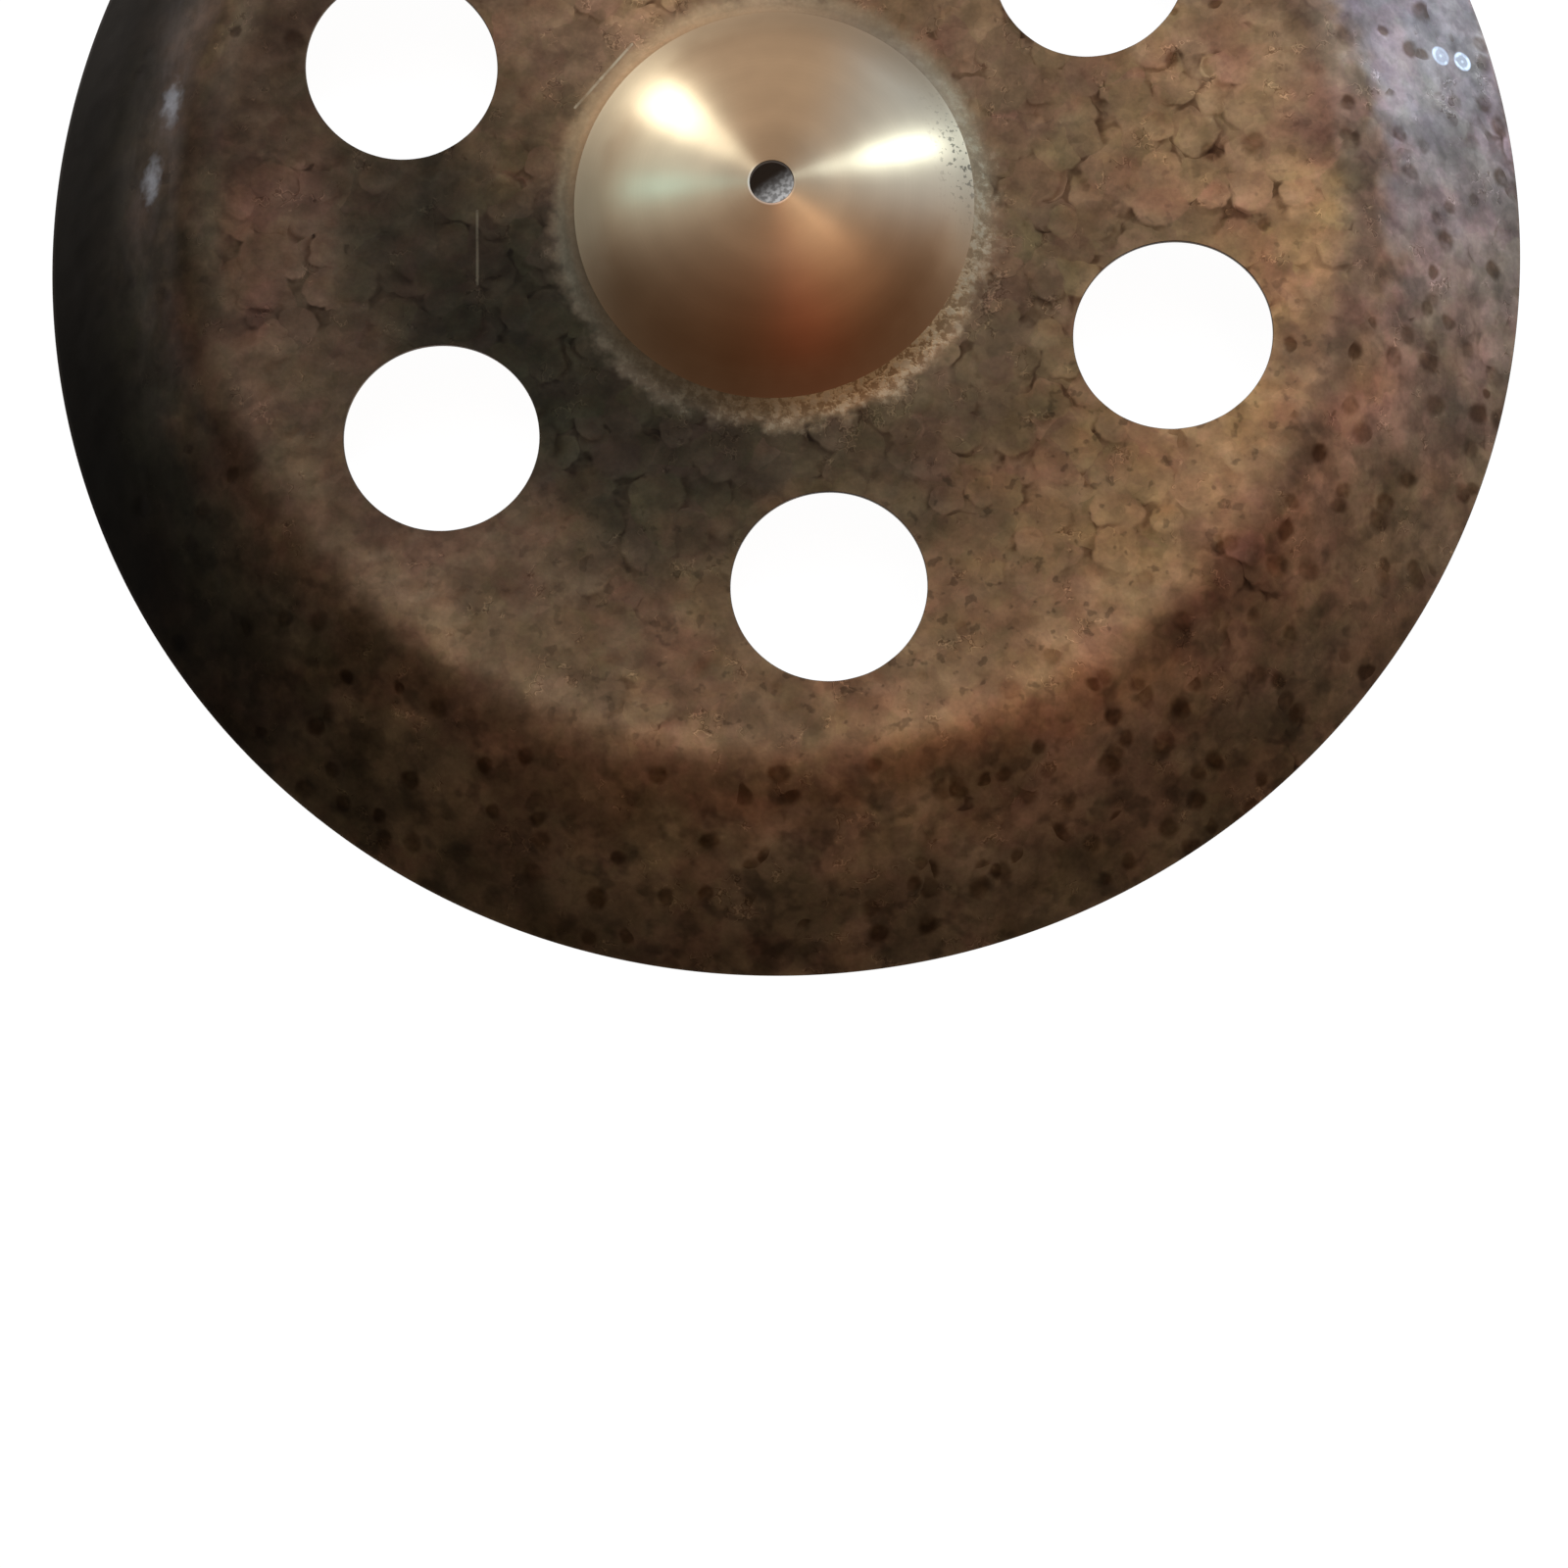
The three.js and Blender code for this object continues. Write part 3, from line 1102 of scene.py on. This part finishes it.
    def facets(self, bench: NodeBench, marks: Socket, colour: Socket) -> Socket:
        """The broad hammer facets: each with a tint of its own, with broken dark outlines, and with
        a painted shadow on one side.

        Args:
            bench: The tree to build in.
            marks: Where the marks are read.
            colour: The colour below.

        Returns:
            The marked colour.
        """
        spread = bench.total(bench.noise(self.facet_groups), self.faceted.mask(bench))
        inward = bench.rise(bench.out, *self.facets_inward)
        pale = bench.fall(bench.away(self.pale_facets, 1.7), 0.022, 0.040)
        where = bench.rise(bench.total(spread, inward), *self.facet_shares)
        where = bench.math("MAXIMUM", where, pale)
        broken = bench.rise(bench.noise(self.breaks), *self.break_shares)
        marked = bench.tinted(colour, self.outline, bench.product(where, broken, 0.75))
        frayed = self.frayed(bench, marks, self.facet_fray)
        for outness, tone, hue, offset in self.work.blows(bench, frayed, self.work.facet_pitch):
            # A painted shadow: a dark crescent on one side of each blow, mostly on its lower side.
            across, along, _ = bench.parts(offset)
            across = bench.product(across, bench.rise(hue, 0.2, 0.8, -1.1, 1.1))
            below = bench.total(across, bench.product(along, 0.5))
            below = bench.rise(below, -0.006, 0.004, 1.0, 0.10)
            shadow_crescent = bench.product(bench.fall(outness, 0.98, 1.42), below, broken, where, 0.80)
            marked = bench.tinted(marked, self.outline, shadow_crescent)
            tint = bench.mix(bench.math("MAXIMUM", hue, pale), self.olive, self.mauve)
            own = bench.tinted(colour, tint, bench.product(where, 0.5))
            swing = bench.product(bench.math("SUBTRACT", tone, 0.5), bench.total(where, pale), 0.34)
            own = bench.scaled(own, bench.total(swing, bench.product(pale, 0.26), 1.0))
            marked = bench.mix(bench.fall(outness, 0.86, 1.03), marked, own)
        return marked

    def dimples(self, bench: NodeBench, marks: Socket, colour: Socket) -> tuple[Socket, Socket]:
        """The dark blot in each round dimple.

        Args:
            bench: The tree to build in.
            marks: Where the marks are read.
            colour: The colour below.

        Returns:
            The marked colour, and the hollow of the dimples.
        """
        frayed = self.frayed(bench, marks, self.dimple_fray)
        layers = self.work.dimples(bench, frayed, self.work.dimple_pitch, self.work.dimple_radius)
        blots = [
            bench.product(bench.fall(outness, 0.55, 1.12), bench.rise(depth, 0.0, 0.7, 0.60, 1.0))
            for outness, depth in layers
        ]
        uneven = bench.rise(bench.noise(self.uneven), *self.uneven_shares)
        lively = bench.rest(self.calm.mask(bench))
        share = bench.product(bench.math("MAXIMUM", *blots), uneven, lively)
        outness = bench.math("MINIMUM", *(outness for outness, _ in layers))
        return bench.tinted(colour, self.blot, share), bench.fall(outness, 0.3, 1.05)

    def wear(self, bench: NodeBench, colour: Socket) -> Socket:
        """Pale crumbs in clusters, two scratches, two bright dimples, two painted glints and a
        painted sheen.

        Args:
            bench: The tree to build in.
            colour: The colour below.

        Returns:
            The marked colour.
        """
        speck = bench.noise(self.speck)
        spray = bench.product(bench.fall(bench.away(self.spray), 0.001, 0.007), 0.16)
        crust = bench.total(self.crust.mask(bench), spray)
        group = bench.rise(bench.total(bench.noise(self.crumb_groups), crust), 0.58, 0.66)
        bright = bench.fall(bench.math("ABSOLUTE", bench.math("SUBTRACT", speck, 0.52)), 0.0, 0.018)
        dark = bench.fall(bench.math("ABSOLUTE", bench.math("SUBTRACT", speck, 0.47)), 0.0, 0.022)
        colour = bench.tinted(colour, self.outline, bench.product(dark, group, 0.7))
        colour = bench.scaled(colour, bench.total(bench.product(bright, group, 0.8), 1.0))
        for start, end, share in self.scratches:
            line = bench.scratch(start, end, self.scratch_width)
            line = bench.product(line, share, bench.rise(speck, 0.3, 0.6, 0.4, 1.0))
            colour = bench.mix(line, colour, self.crumb)
        for spot in self.bright_dimples:
            away = bench.away(spot)
            fill = bench.fall(away, 0.0027, 0.0034)
            worn = bench.rise(speck, 0.40, 0.58, 0.45, 1.0)
            ring = bench.product(bench.rise(away, 0.0012, 0.0024), fill, worn)
            dot = bench.product(bench.fall(away, 0.0002, 0.0010), 0.8)
            rubbed = bench.math("MAXIMUM", ring, dot)
            rubbed = bench.math("MAXIMUM", rubbed, bench.product(fill, 0.35))
            colour = bench.mix(rubbed, colour, self.mirror)
        # Painted highlights: two soft silver glints on the left of the flange, near the ridge.
        for spot in self.rubbed_spots:
            ragged = bench.rise(speck, 0.35, 0.65, 0.0014, -0.0014)
            soft = bench.fall(bench.total(bench.away(spot, 1.9), ragged), 0.0, 0.0095)
            colour = bench.mix(bench.product(soft, 0.60), colour, self.silver)
        # A painted sheen: a soft grey streak down the left of the flange.
        drawn = bench.vector("MULTIPLY", bench.place, (1.0, 0.45, 1.0))
        smear = bench.rise(bench.noise(self.smear, drawn), *self.smear_shares)
        return bench.mix(bench.product(self.smeared.mask(bench), smear), colour, self.bloom)

    def foot_ring(self, bench: NodeBench, colour: Socket) -> tuple[Socket, Socket]:
        """The rough pale ring round the foot of the bell, left between lathe and hammer, with
        painted light and shade in its colour.

        Args:
            bench: The tree to build in.
            colour: The colour below.

        Returns:
            The marked colour, and the ring's grit from 0 to 1.
        """
        wander = bench.total(bench.out, bench.spread(bench.noise(self.foot_drift), -0.0022, 0.0022))
        ring = bench.fall(wander, self.work.foot_limit - 0.0045, self.work.foot_limit + 0.0025)
        crumbs = bench.noise(self.crumbs)
        # Painted light and shade by heading: the shade colour to the lower left, darker towards the
        # upper right and lighter opposite, and darker to the upper left.
        pale = bench.mix(bench.rise(bench.toward(-140), 0.68, 0.97), self.foot, self.foot_shade)
        pale = bench.scaled(pale, bench.rise(bench.toward(32, 4.0), 0.1, 0.9, 1.20, 0.52))
        pale = bench.tinted(pale, self.foot_dusk, bench.rise(bench.toward(146, 6.0), 0.05, 0.95))
        # Painted light: lighter along the ring's inner edge, most to the bottom and the left.
        pale = bench.scaled(pale, bench.rise(bench.out, 0.0600, 0.0630, 1.30, 1.0))
        pale = touched(bench, pale, self.ring_touches)
        colour = bench.mix(bench.product(ring, 0.78), colour, pale)
        crusty = bench.total(self.crusty.mask(bench), 0.05)
        dark = bench.product(ring, bench.rise(crumbs, 0.50, 0.42), crusty)
        light = bench.product(ring, bench.rise(crumbs, 0.53, 0.60), crusty, 0.6)
        colour = bench.mix(light, bench.tinted(colour, self.outline, dark), self.crumb)
        return colour, bench.product(ring, crusty, bench.rise(crumbs, 0.42, 0.60))


@dataclass(frozen=True)
class PlainBronze(Finish):
    """Bronze without a patina of its own: the cut walls of the holes, and the underside."""

    name: str
    colour: Colour
    dark: Colour
    roughness: float = 0.45
    metal: float = 0.9
    cloud: Grain = Grain(0.02, 4.0, 0.6)
    fine: Grain = Grain(0.001, 3.0, 0.7, 2.0)
    pitch: float = 0.014

    def make(self) -> bpy.types.Material:
        """Build the material.

        Returns:
            The finished material.
        """
        material, bench, shader = self.start()
        cloud, fine = bench.noise(self.cloud), bench.noise(self.fine)
        _, (tone, _, _), _ = bench.cells(bench.place, self.pitch)
        colour = bench.mix(bench.rise(cloud, 0.35, 0.65), self.dark, self.colour)
        shade = bench.total(bench.spread(fine, -0.1, 0.1), bench.product(tone, 0.2), 0.9)
        rough = bench.spread(cloud, self.roughness - 0.05, self.roughness + 0.08)
        self.dress(bench, shader, Base_Color=bench.scaled(colour, shade), Roughness=rough)
        self.relief(bench, shader, fine, 0.00008, 0.4)
        return material


@dataclass
class CymbalSheet:
    """The cymbal itself: one closed sheet of bronze, turned, pierced and hammered."""

    name: str = "hammered_sheet"
    profile: SheetProfile = field(default_factory=SheetProfile)
    holes: SoundHoles = field(default_factory=SoundHoles)
    work: HammerWork = field(default_factory=HammerWork)
    mounting_radius: float = 0.00635
    mounting_facets: int = 72
    rim_facets: int = 832
    bell_spokes: int = 256
    edge_round: float = 0.00014
    upper_pitch: float = 0.0016
    lower_pitch: float = 0.0027
    fewest_facets: int = 32
    longest_share: float = 1.12
    bore_share: float = 0.8
    clear_share: float = 0.6
    rim_shares: Span = (0.4, 0.6)
    merge_distance: float = 1e-9
    edge_angle: float = math.radians(28)

    def loops(self) -> list[tuple[np.ndarray, np.ndarray]]:
        """All outlines of the sheet in the plan: the rim, the mounting hole and the sound holes.

        Returns:
            For each its points and the directions into the metal at each.
        """
        rim = self.circle(self.profile.rim_radius, self.rim_facets)
        bore = self.circle(self.mounting_radius, self.mounting_facets)
        rise = self.profile.ridge[1] - self.profile.foot[1]
        slope = math.atan2(rise, self.profile.ridge[0] - self.profile.foot[0])
        found = [(rim, -rim / self.profile.rim_radius), (bore, bore / self.mounting_radius)]
        return found + self.holes.loops(slope)

    @staticmethod
    def circle(radius: float, facets: int) -> np.ndarray:
        """Points evenly round a circle in the plan, one row each."""
        turn = np.arange(facets) * 2 * math.pi / facets
        return radius * np.column_stack([np.cos(turn), np.sin(turn)])

    def lattice(self, pitch: float) -> np.ndarray:
        """Rings of points that fill the plan between the outlines.

        Args:
            pitch: The distance from ring to ring, and about that from point to point.

        Returns:
            One row for each point.
        """
        start = self.mounting_radius + pitch * self.bore_share
        limit, rim = self.work.lathe_limit, self.profile.rim_radius
        inside = np.linspace(start, limit, round((limit - start) / pitch), endpoint=False)
        outside = np.linspace(limit, rim, round((rim - limit) / pitch), endpoint=False)[1:]
        rings = []
        for radius in (*inside, *outside):
            facets = self.fewest_facets
            while 2 * math.pi * radius / facets > self.longest_share * pitch:
                facets = facets * 3 // 2 if facets % 3 else facets * 4 // 3
            rings.append(self.circle(float(radius), facets))
        points = np.concatenate(rings)
        clear = self.clear_share * pitch
        keep = np.linalg.norm(points, axis=1) < rim - clear
        for outline, _ in self.loops()[2:]:
            centre = outline.mean(axis=0)
            keep &= np.linalg.norm(points - centre, axis=1) > self.holes.radius + clear
        return points[keep]

    def filled(self, pitch: float) -> tuple[np.ndarray, np.ndarray]:
        """Fill the plan with triangles between the outlines.

        Args:
            pitch: The size of the triangles.

        Returns:
            The points, with those of the outlines at the front, and the triangles.
        """
        outlines = [points + away * self.edge_round for points, away in self.loops()]
        limit = self.circle(self.work.lathe_limit, self.bell_spokes)
        edges, count = [], 0
        for ring in (*outlines, limit):
            edges += [(count + i, count + (i + 1) % len(ring)) for i in range(len(ring))]
            count += len(ring)
        points = np.concatenate([*outlines, limit, self.lattice(pitch)])
        flat = [Vector(point) for point in points]
        made, _, faces, origins, _, _ = delaunay_2d_cdt(flat, edges, [], 0, self.merge_distance)
        order = np.empty(len(made), int)
        for index, source in enumerate(origins):
            order[index] = source[0]
        triangles = order[np.array(faces)]
        outline_of = np.full(len(points), -1)
        outlined = np.repeat(np.arange(len(outlines)), [len(ring) for ring in outlines])
        outline_of[:len(outlined)] = outlined
        owners = outline_of[triangles]
        in_hole = (owners[:, 0] > 0) & (owners == owners[:, :1]).all(axis=1)
        return points, triangles[~in_hole]

    def walls(self) -> tuple[list[np.ndarray], list[np.ndarray]]:
        """The two middle rings of each cut wall, just below the upper edge and above the lower one.

        Returns:
            The points of both rings for each outline, and the directions square to the sheet there.
        """
        rings, ups = [], []
        for index, (points, _) in enumerate(self.loops()):
            top, up = self.profile.surface(points)
            depth = self.profile.thickness(np.linalg.norm(points, axis=1))[:, None]
            high, low = top - up * self.edge_round, top - up * (depth - self.edge_round)
            if index == 0:
                high, low = top.copy(), top.copy()
                high[:, 2] = self.profile.rim_height - self.edge_round * self.rim_shares[0]
                low[:, 2] = self.edge_round * self.rim_shares[1]
            rings.append(np.concatenate([high, low]))
            ups.append(np.concatenate([up, up]))
        return rings, ups

    def build(self) -> bpy.types.Object:
        """Build the smooth sheet, closed and with its regions marked.

        Returns:
            The new object, without hammer marks or finishes.
        """
        plan, faces = self.filled(self.upper_pitch)
        low_plan, low_faces = self.filled(self.lower_pitch)
        top, up = self.profile.surface(plan)
        low_top, low_up = self.profile.surface(low_plan)
        depth = self.profile.thickness(np.linalg.norm(low_plan, axis=1))
        bottom = low_top - low_up * depth[:, None]
        bottom[:, 2] = np.maximum(bottom[:, 2], 0.0)
        wall_rings, wall_ups = self.walls()
        vertices = np.concatenate([top, bottom, *wall_rings])
        ups = np.concatenate([up, low_up, *wall_ups])
        share = [np.ones(len(top)), np.zeros(len(bottom))]
        share += [np.repeat([1.0, 0.0], len(ring) // 2) for ring in wall_rings]
        middle = np.linalg.norm(plan[faces].mean(axis=1), axis=1)
        zones = [np.where(middle < self.work.lathe_limit, int(Zone.LATHED), int(Zone.HAMMERED))]
        triangles = [faces, low_faces[:, ::-1] + len(top)]
        zones.append(np.full(len(low_faces), int(Zone.UNDERSIDE)))
        start, wall_start = 0, len(top) + len(bottom)
        for ring in wall_rings:
            count = len(ring) // 2
            here = np.arange(count)
            after = (here + 1) % count
            rows = [start, wall_start, wall_start + count, len(top) + start]
            for above, below in zip(rows, rows[1:]):
                quad = (above + here, above + after, below + after, below + here)
                triangles.append(np.column_stack([quad[0], quad[1], quad[2]]))
                triangles.append(np.column_stack([quad[0], quad[2], quad[3]]))
                zones.append(np.full(2 * count, int(Zone.CUT)))
            start += count
            wall_start += 2 * count
        mesh = self.mesh(vertices, np.concatenate(triangles))
        self.mark(mesh, "zone", "INT", "FACE", np.concatenate(zones))
        self.mark(mesh, "upper_share", "FLOAT", "POINT", np.concatenate(share))
        self.mark(mesh, "sheet_up", "FLOAT_VECTOR", "POINT", ups)
        return placed(self.name, mesh)

    def mesh(self, vertices: np.ndarray, triangles: np.ndarray) -> bpy.types.Mesh:
        """Make a closed mesh whose faces point outwards.

        Args:
            vertices: One row for each vertex.
            triangles: One row of three vertex numbers for each face.

        Returns:
            The mesh.
        """
        mesh = bpy.data.meshes.new(self.name)
        mesh.vertices.add(len(vertices))
        mesh.vertices.foreach_set("co", vertices.astype(np.float32).ravel())
        mesh.loops.add(triangles.size)
        mesh.loops.foreach_set("vertex_index", triangles.astype(np.int32).ravel())
        mesh.polygons.add(len(triangles))
        mesh.polygons.foreach_set("loop_start", np.arange(0, triangles.size, 3, dtype=np.int32))
        mesh.update(calc_edges=True)
        shell = bmesh.new()
        shell.from_mesh(mesh)
        bmesh.ops.recalc_face_normals(shell, faces=shell.faces)
        open_edges = sum(not edge.is_manifold for edge in shell.edges)
        shell.to_mesh(mesh)
        shell.free()
        LOG.info("sheet: %d triangles, %d open edges", len(mesh.polygons), open_edges)
        return mesh

    @staticmethod
    def mark(mesh: bpy.types.Mesh, name: str, kind: str, domain: str, values: np.ndarray) -> None:
        """Store an attribute on the mesh.

        Args:
            mesh: The mesh.
            name: The attribute's name.
            kind: Its data type.
            domain: What it is stored on.
            values: One value or row for each.
        """
        layer = mesh.attributes.new(name, kind, domain)
        key = "vector" if kind == "FLOAT_VECTOR" else "value"
        values = values.astype(np.int32 if kind == "INT" else np.float32)
        layer.data.foreach_set(key, values.ravel())

    def hammer(self, piece: bpy.types.Object, finishes: dict[Zone, bpy.types.Material]) -> None:
        """Hammer the sheet, give out its finishes and keep the result as a plain mesh.

        Args:
            piece: The smooth sheet.
            finishes: The material of each region.
        """
        tree = self.work.tree()
        modifier = piece.modifiers.new("hammer_work", "NODES")
        modifier.node_group = tree
        sockets = [item for item in tree.interface.items_tree if item.in_out == "INPUT"]
        entries = {item.name: item.identifier for item in sockets}
        for name, value in self.work.lengths().items():
            modifier[entries[name]] = value
        modifier[entries["Seed"]] = self.work.seed
        for zone, material in finishes.items():
            modifier[entries[f"Finish {zone.name}"]] = material
        evaluated = piece.evaluated_get(bpy.context.evaluated_depsgraph_get())
        plain = bpy.data.meshes.new_from_object(evaluated)
        piece.modifiers.remove(modifier)
        piece.data = plain
        plain.name = self.name
        for name in ("zone", "upper_share", "sheet_up"):
            plain.attributes.remove(plain.attributes[name])
        plain.shade_smooth()
        plain.set_sharp_from_angle(angle=self.edge_angle)


@dataclass(frozen=True)
class Fan(Touch):
    """A fan-shaped patch of light in the room, which spreads from the place mirrored by the seat.

    Its heading is that of the bell's part that mirrors it. Its spans are of tilt, the tangent of
    the slope that mirrors it, so a fan draws a wedge-shaped streak on the turned bell.
    """

    blend: Blend = Blend.LIGHT


@dataclass(frozen=True)
class Lamp:
    """A soft strip lamp that faces the cymbal, between two directions from it."""

    name: str
    near: Triple
    far: Triple
    width: float
    power: float
    light: Colour

    def hang(self, distance: float) -> None:
        """Hang the lamp.

        Args:
            distance: How far from the cymbal.
        """
        start = Vector(self.near).normalized() * distance
        end = Vector(self.far).normalized() * distance
        data = bpy.data.lights.new(self.name, "AREA")
        data.shape = "RECTANGLE"
        data.size = (end - start).length
        data.size_y = self.width
        data.energy = self.power
        data.color = self.light
        back = (start + end).normalized()
        along = (end - start).normalized()
        turn = Matrix((along, back.cross(along), back)).transposed()
        placed(self.name, data).matrix_world = Matrix.Translation((start + end) / 2) @ turn.to_4x4()


@dataclass
class Studio:
    """The pale floor, the soft light and the camera at the photograph's angle."""

    floor_radius: float = 4.0
    floor_facets: int = 96
    floor_drop: float = 0.0001
    floor_glow: float = 0.97
    under_bell: Spot = (0.0, 0.014)
    under_hole: Spot = (-0.0016, 0.0184)
    floor_grit: Grain = Grain(0.0016)
    lens: float = 39.838
    camera_place: Triple = (0.01899, -0.22169, 0.52164)
    camera_right: Triple = (0.99950883, 0.00151816, -0.03130161)
    camera_up: Triple = (0.00151816, 0.99530747, 0.09675085)
    camera_back: Triple = (0.03130161, -0.09675085, 0.99481631)
    dim_side: Colour = (0.14, 0.108, 0.078)
    bright_side: Colour = (1.0, 0.98, 0.96)
    wall_light: Colour = (0.80, 0.80, 0.80)
    wall_share: float = 0.35
    side_wall: Colour = (0.13, 0.10, 0.075)
    right_sky: Colour = (0.05, 0.55, 1.25)
    left_sky: Colour = (0.40, 0.90, 1.30)
    seat_mirror: Triple = (0.0, 0.385, -0.923)
    fans: tuple[Fan, ...] = (
        Fan(-60, 36.0, comes=(0.00, 0.05), goes=(0.14, 0.36), paint=(1.00, 0.80, 0.62)),
        Fan(-78, 60.0, comes=(0.09, 0.20), goes=(0.36, 0.60), paint=(0.26, 0.06, 0.055)),
        Fan(-62, 5.0, comes=(0.04, 0.14), goes=(0.34, 0.60), paint=(0.12, 0.09, 0.065)),
        Fan(-92, 6.0, comes=(0.00, 0.05), goes=(0.12, 0.30), paint=(0.22, 0.07, 0.02)),
        Fan(158, 110.0, comes=(0.00, 0.05), goes=(0.18, 0.36), paint=(0.50, 0.90, 1.40)),
    )
    lamp_distance: float = 1.2
    lamps: tuple[Lamp, ...] = (
        Lamp("left_lamp", (-0.325, 0.62, 0.71), (-0.50, 0.785, 0.37), 0.20, 3.9, (0.68, 0.88, 1.0)),
        Lamp("right_lamp", (0.33, 0.495, 0.81), (0.68, 0.605, 0.43), 0.11, 3.5, (0.50, 0.77, 1.0)),
        Lamp("warm_lamp", (0.14, 0.26, 0.955), (0.28, 0.14, 0.95), 0.07, 0.18, (1.0, 0.78, 0.60)),
        Lamp("green_lamp", (-0.36, 0.40, 0.84), (-0.62, 0.41, 0.67), 0.10, 0.5, (0.14, 0.58, 0.82)),
    )

    def set_up(self) -> None:
        """Lay the floor, light the room, hang the lamps and set up the camera."""
        self.floor()
        self.world()
        for lamp in self.lamps:
            lamp.hang(self.lamp_distance)
        self.camera()

    def camera(self) -> None:
        """Set up the camera where the photograph was taken from."""
        data = bpy.data.cameras.new("photo_camera")
        data.sensor_width = 36.0
        data.lens = self.lens
        data.clip_start = 0.01
        data.clip_end = 50.0
        turn = Matrix((self.camera_right, self.camera_up, self.camera_back)).transposed()
        holder = placed("photo_camera", data)
        holder.matrix_world = Matrix.Translation(self.camera_place) @ turn.to_4x4()
        bpy.context.scene.camera = holder

    def floor(self) -> None:
        """Lay the pale floor, which keeps a light shadow of the cymbal and a painted one under the
        bell.
        """
        shell = bmesh.new()
        bmesh.ops.create_circle(
            shell, cap_ends=True, radius=self.floor_radius, segments=self.floor_facets
        )
        mesh = bpy.data.meshes.new("floor")
        shell.to_mesh(mesh)
        shell.free()
        mesh.transform(Matrix.Translation((0, 0, -self.floor_drop)))
        mesh.materials.append(self.floor_finish())
        placed("floor", mesh)

    def floor_finish(self) -> bpy.types.Material:
        """The floor's paint: white to the eye, with a painted shadow under the bell and a painted
        patch of light below the mounting hole, plain white matt to the light.

        Returns:
            The material.
        """
        material = bpy.data.materials.new("floor_paint")
        material.use_nodes = True
        material.node_tree.nodes.clear()
        bench = NodeBench(material.node_tree, Source.PIECE)
        rays = bench.node("ShaderNodeLightPath").outputs
        seen = bench.math("MAXIMUM", rays["Is Camera Ray"], rays["Is Glossy Ray"])
        seen = bench.math("MAXIMUM", seen, rays["Is Transmission Ray"])
        # Painted light and shadow: a lit patch below the mounting hole, inside a painted shadow
        # under the bell.
        x, y, _ = bench.parts(bench.vector("SUBTRACT", bench.place, (*self.under_hole, 0.0)))
        lit = bench.math("SUBTRACT", bench.product(x, 0.55), bench.product(y, 0.83))
        grit = bench.rise(bench.noise(self.floor_grit), 0.4, 0.6, 0.20, 0.46)
        lit = bench.product(bench.rise(lit, -0.002, 0.007), grit)
        shadow = bench.total(lit, 0.004)
        level = bench.rise(bench.away(self.under_bell), 0.012, 0.045, shadow, self.floor_glow)
        glow = bench.node("ShaderNodeEmission", grey(1.0), level).outputs[0]
        faint = bench.node("ShaderNodeBsdfDiffuse", grey(0.12)).outputs[0]
        both = bench.node("ShaderNodeAddShader", glow, faint).outputs[0]
        matt = bench.node("ShaderNodeBsdfDiffuse", grey(0.8)).outputs[0]
        choice = bench.node("ShaderNodeMixShader", seen, matt, both).outputs[0]
        bench.node("ShaderNodeOutputMaterial", choice)
        return material

    def world(self) -> None:
        """Fill the room with soft light: dim in front, bright walls and windows at the far side."""
        world = bpy.data.worlds.new("soft_room")
        bpy.context.scene.world = world
        world.use_nodes = True
        bench = NodeBench(world.node_tree, Source.ROOM)
        x, y, z = bench.parts(bench.place)
        right, left = bench.math("MAXIMUM", x, 0.0), bench.math("MINIMUM", x, 0.0)
        right = bench.product(right, bench.rise(z, 0.30, 0.60, 0.40, -0.10))
        left = bench.product(left, bench.rise(z, 0.30, 0.60, 0.40, 0.10))
        lean = bench.total(y, right, left)
        room = bench.mix(bench.rise(lean, -0.05, 0.45), self.dim_side, self.bright_side)
        leftmost = bench.product(bench.rise(x, -1.0, -0.55, 0.9, 0.0), bench.fall(z, 0.25, 0.45))
        walls = bench.product(bench.fall(z, 0.02, 0.30), bench.rise(x, -0.9, -0.3), self.wall_share)
        room = bench.mix(walls, bench.scaled(room, bench.rest(leftmost)), self.wall_light)
        beside = bench.total(bench.product(x, 0.85), bench.product(y, -0.35))
        beside = bench.product(bench.rise(beside, 0.0, 0.7), bench.fall(z, 0.60, 0.78))
        far = bench.rise(y, 0.15, 0.48)
        right_window = bench.product(far, bench.rise(x, 0.10, 0.45))
        left_window = bench.product(far, bench.rise(x, -0.85, -0.50), bench.fall(x, -0.45, -0.15))
        left_window = bench.product(left_window, bench.rise(z, 0.45, 0.65))
        shares = (beside, right_window, left_window)
        for share, light in zip(shares, (self.side_wall, self.right_sky, self.left_sky)):
            room = bench.mix(share, room, light, Blend.LIGHT)
        slope = bench.vector("SUBTRACT", bench.place, self.seat_mirror)
        upright = bench.math("MAXIMUM", bench.parts(slope)[2], 0.05)
        tilt = bench.math("DIVIDE", bench.radius(slope), upright)
        room = touched(bench, room, self.fans, slope, tilt)
        bench.feed(world.node_tree.nodes["Background"].inputs["Color"], room)


def main() -> None:
    """Build the cymbal and its studio."""
    logging.basicConfig(level=logging.INFO, format="%(name)s: %(message)s", force=True)
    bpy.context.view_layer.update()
    bpy.context.scene.view_settings.view_transform = "Standard"
    sheet = CymbalSheet()
    cut = PlainBronze("cut_bronze", linear(96, 78, 60), linear(60, 48, 38))
    underside = PlainBronze("underside_bronze", linear(140, 108, 78), linear(92, 70, 52))
    finishes = {
        Zone.HAMMERED: HammeredPatina(sheet.work).make(),
        Zone.LATHED: LathedBronze().make(),
        Zone.CUT: cut.make(),
        Zone.UNDERSIDE: underside.make(),
    }
    piece = sheet.build()
    sheet.hammer(piece, finishes)
    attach(piece, "root")
    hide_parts("cymbal")
    LOG.info("%s: %d triangles", piece.name, len(piece.data.polygons))
    Studio().set_up()
    bpy.context.view_layer.update()


if __name__ == "__main__":
    main()
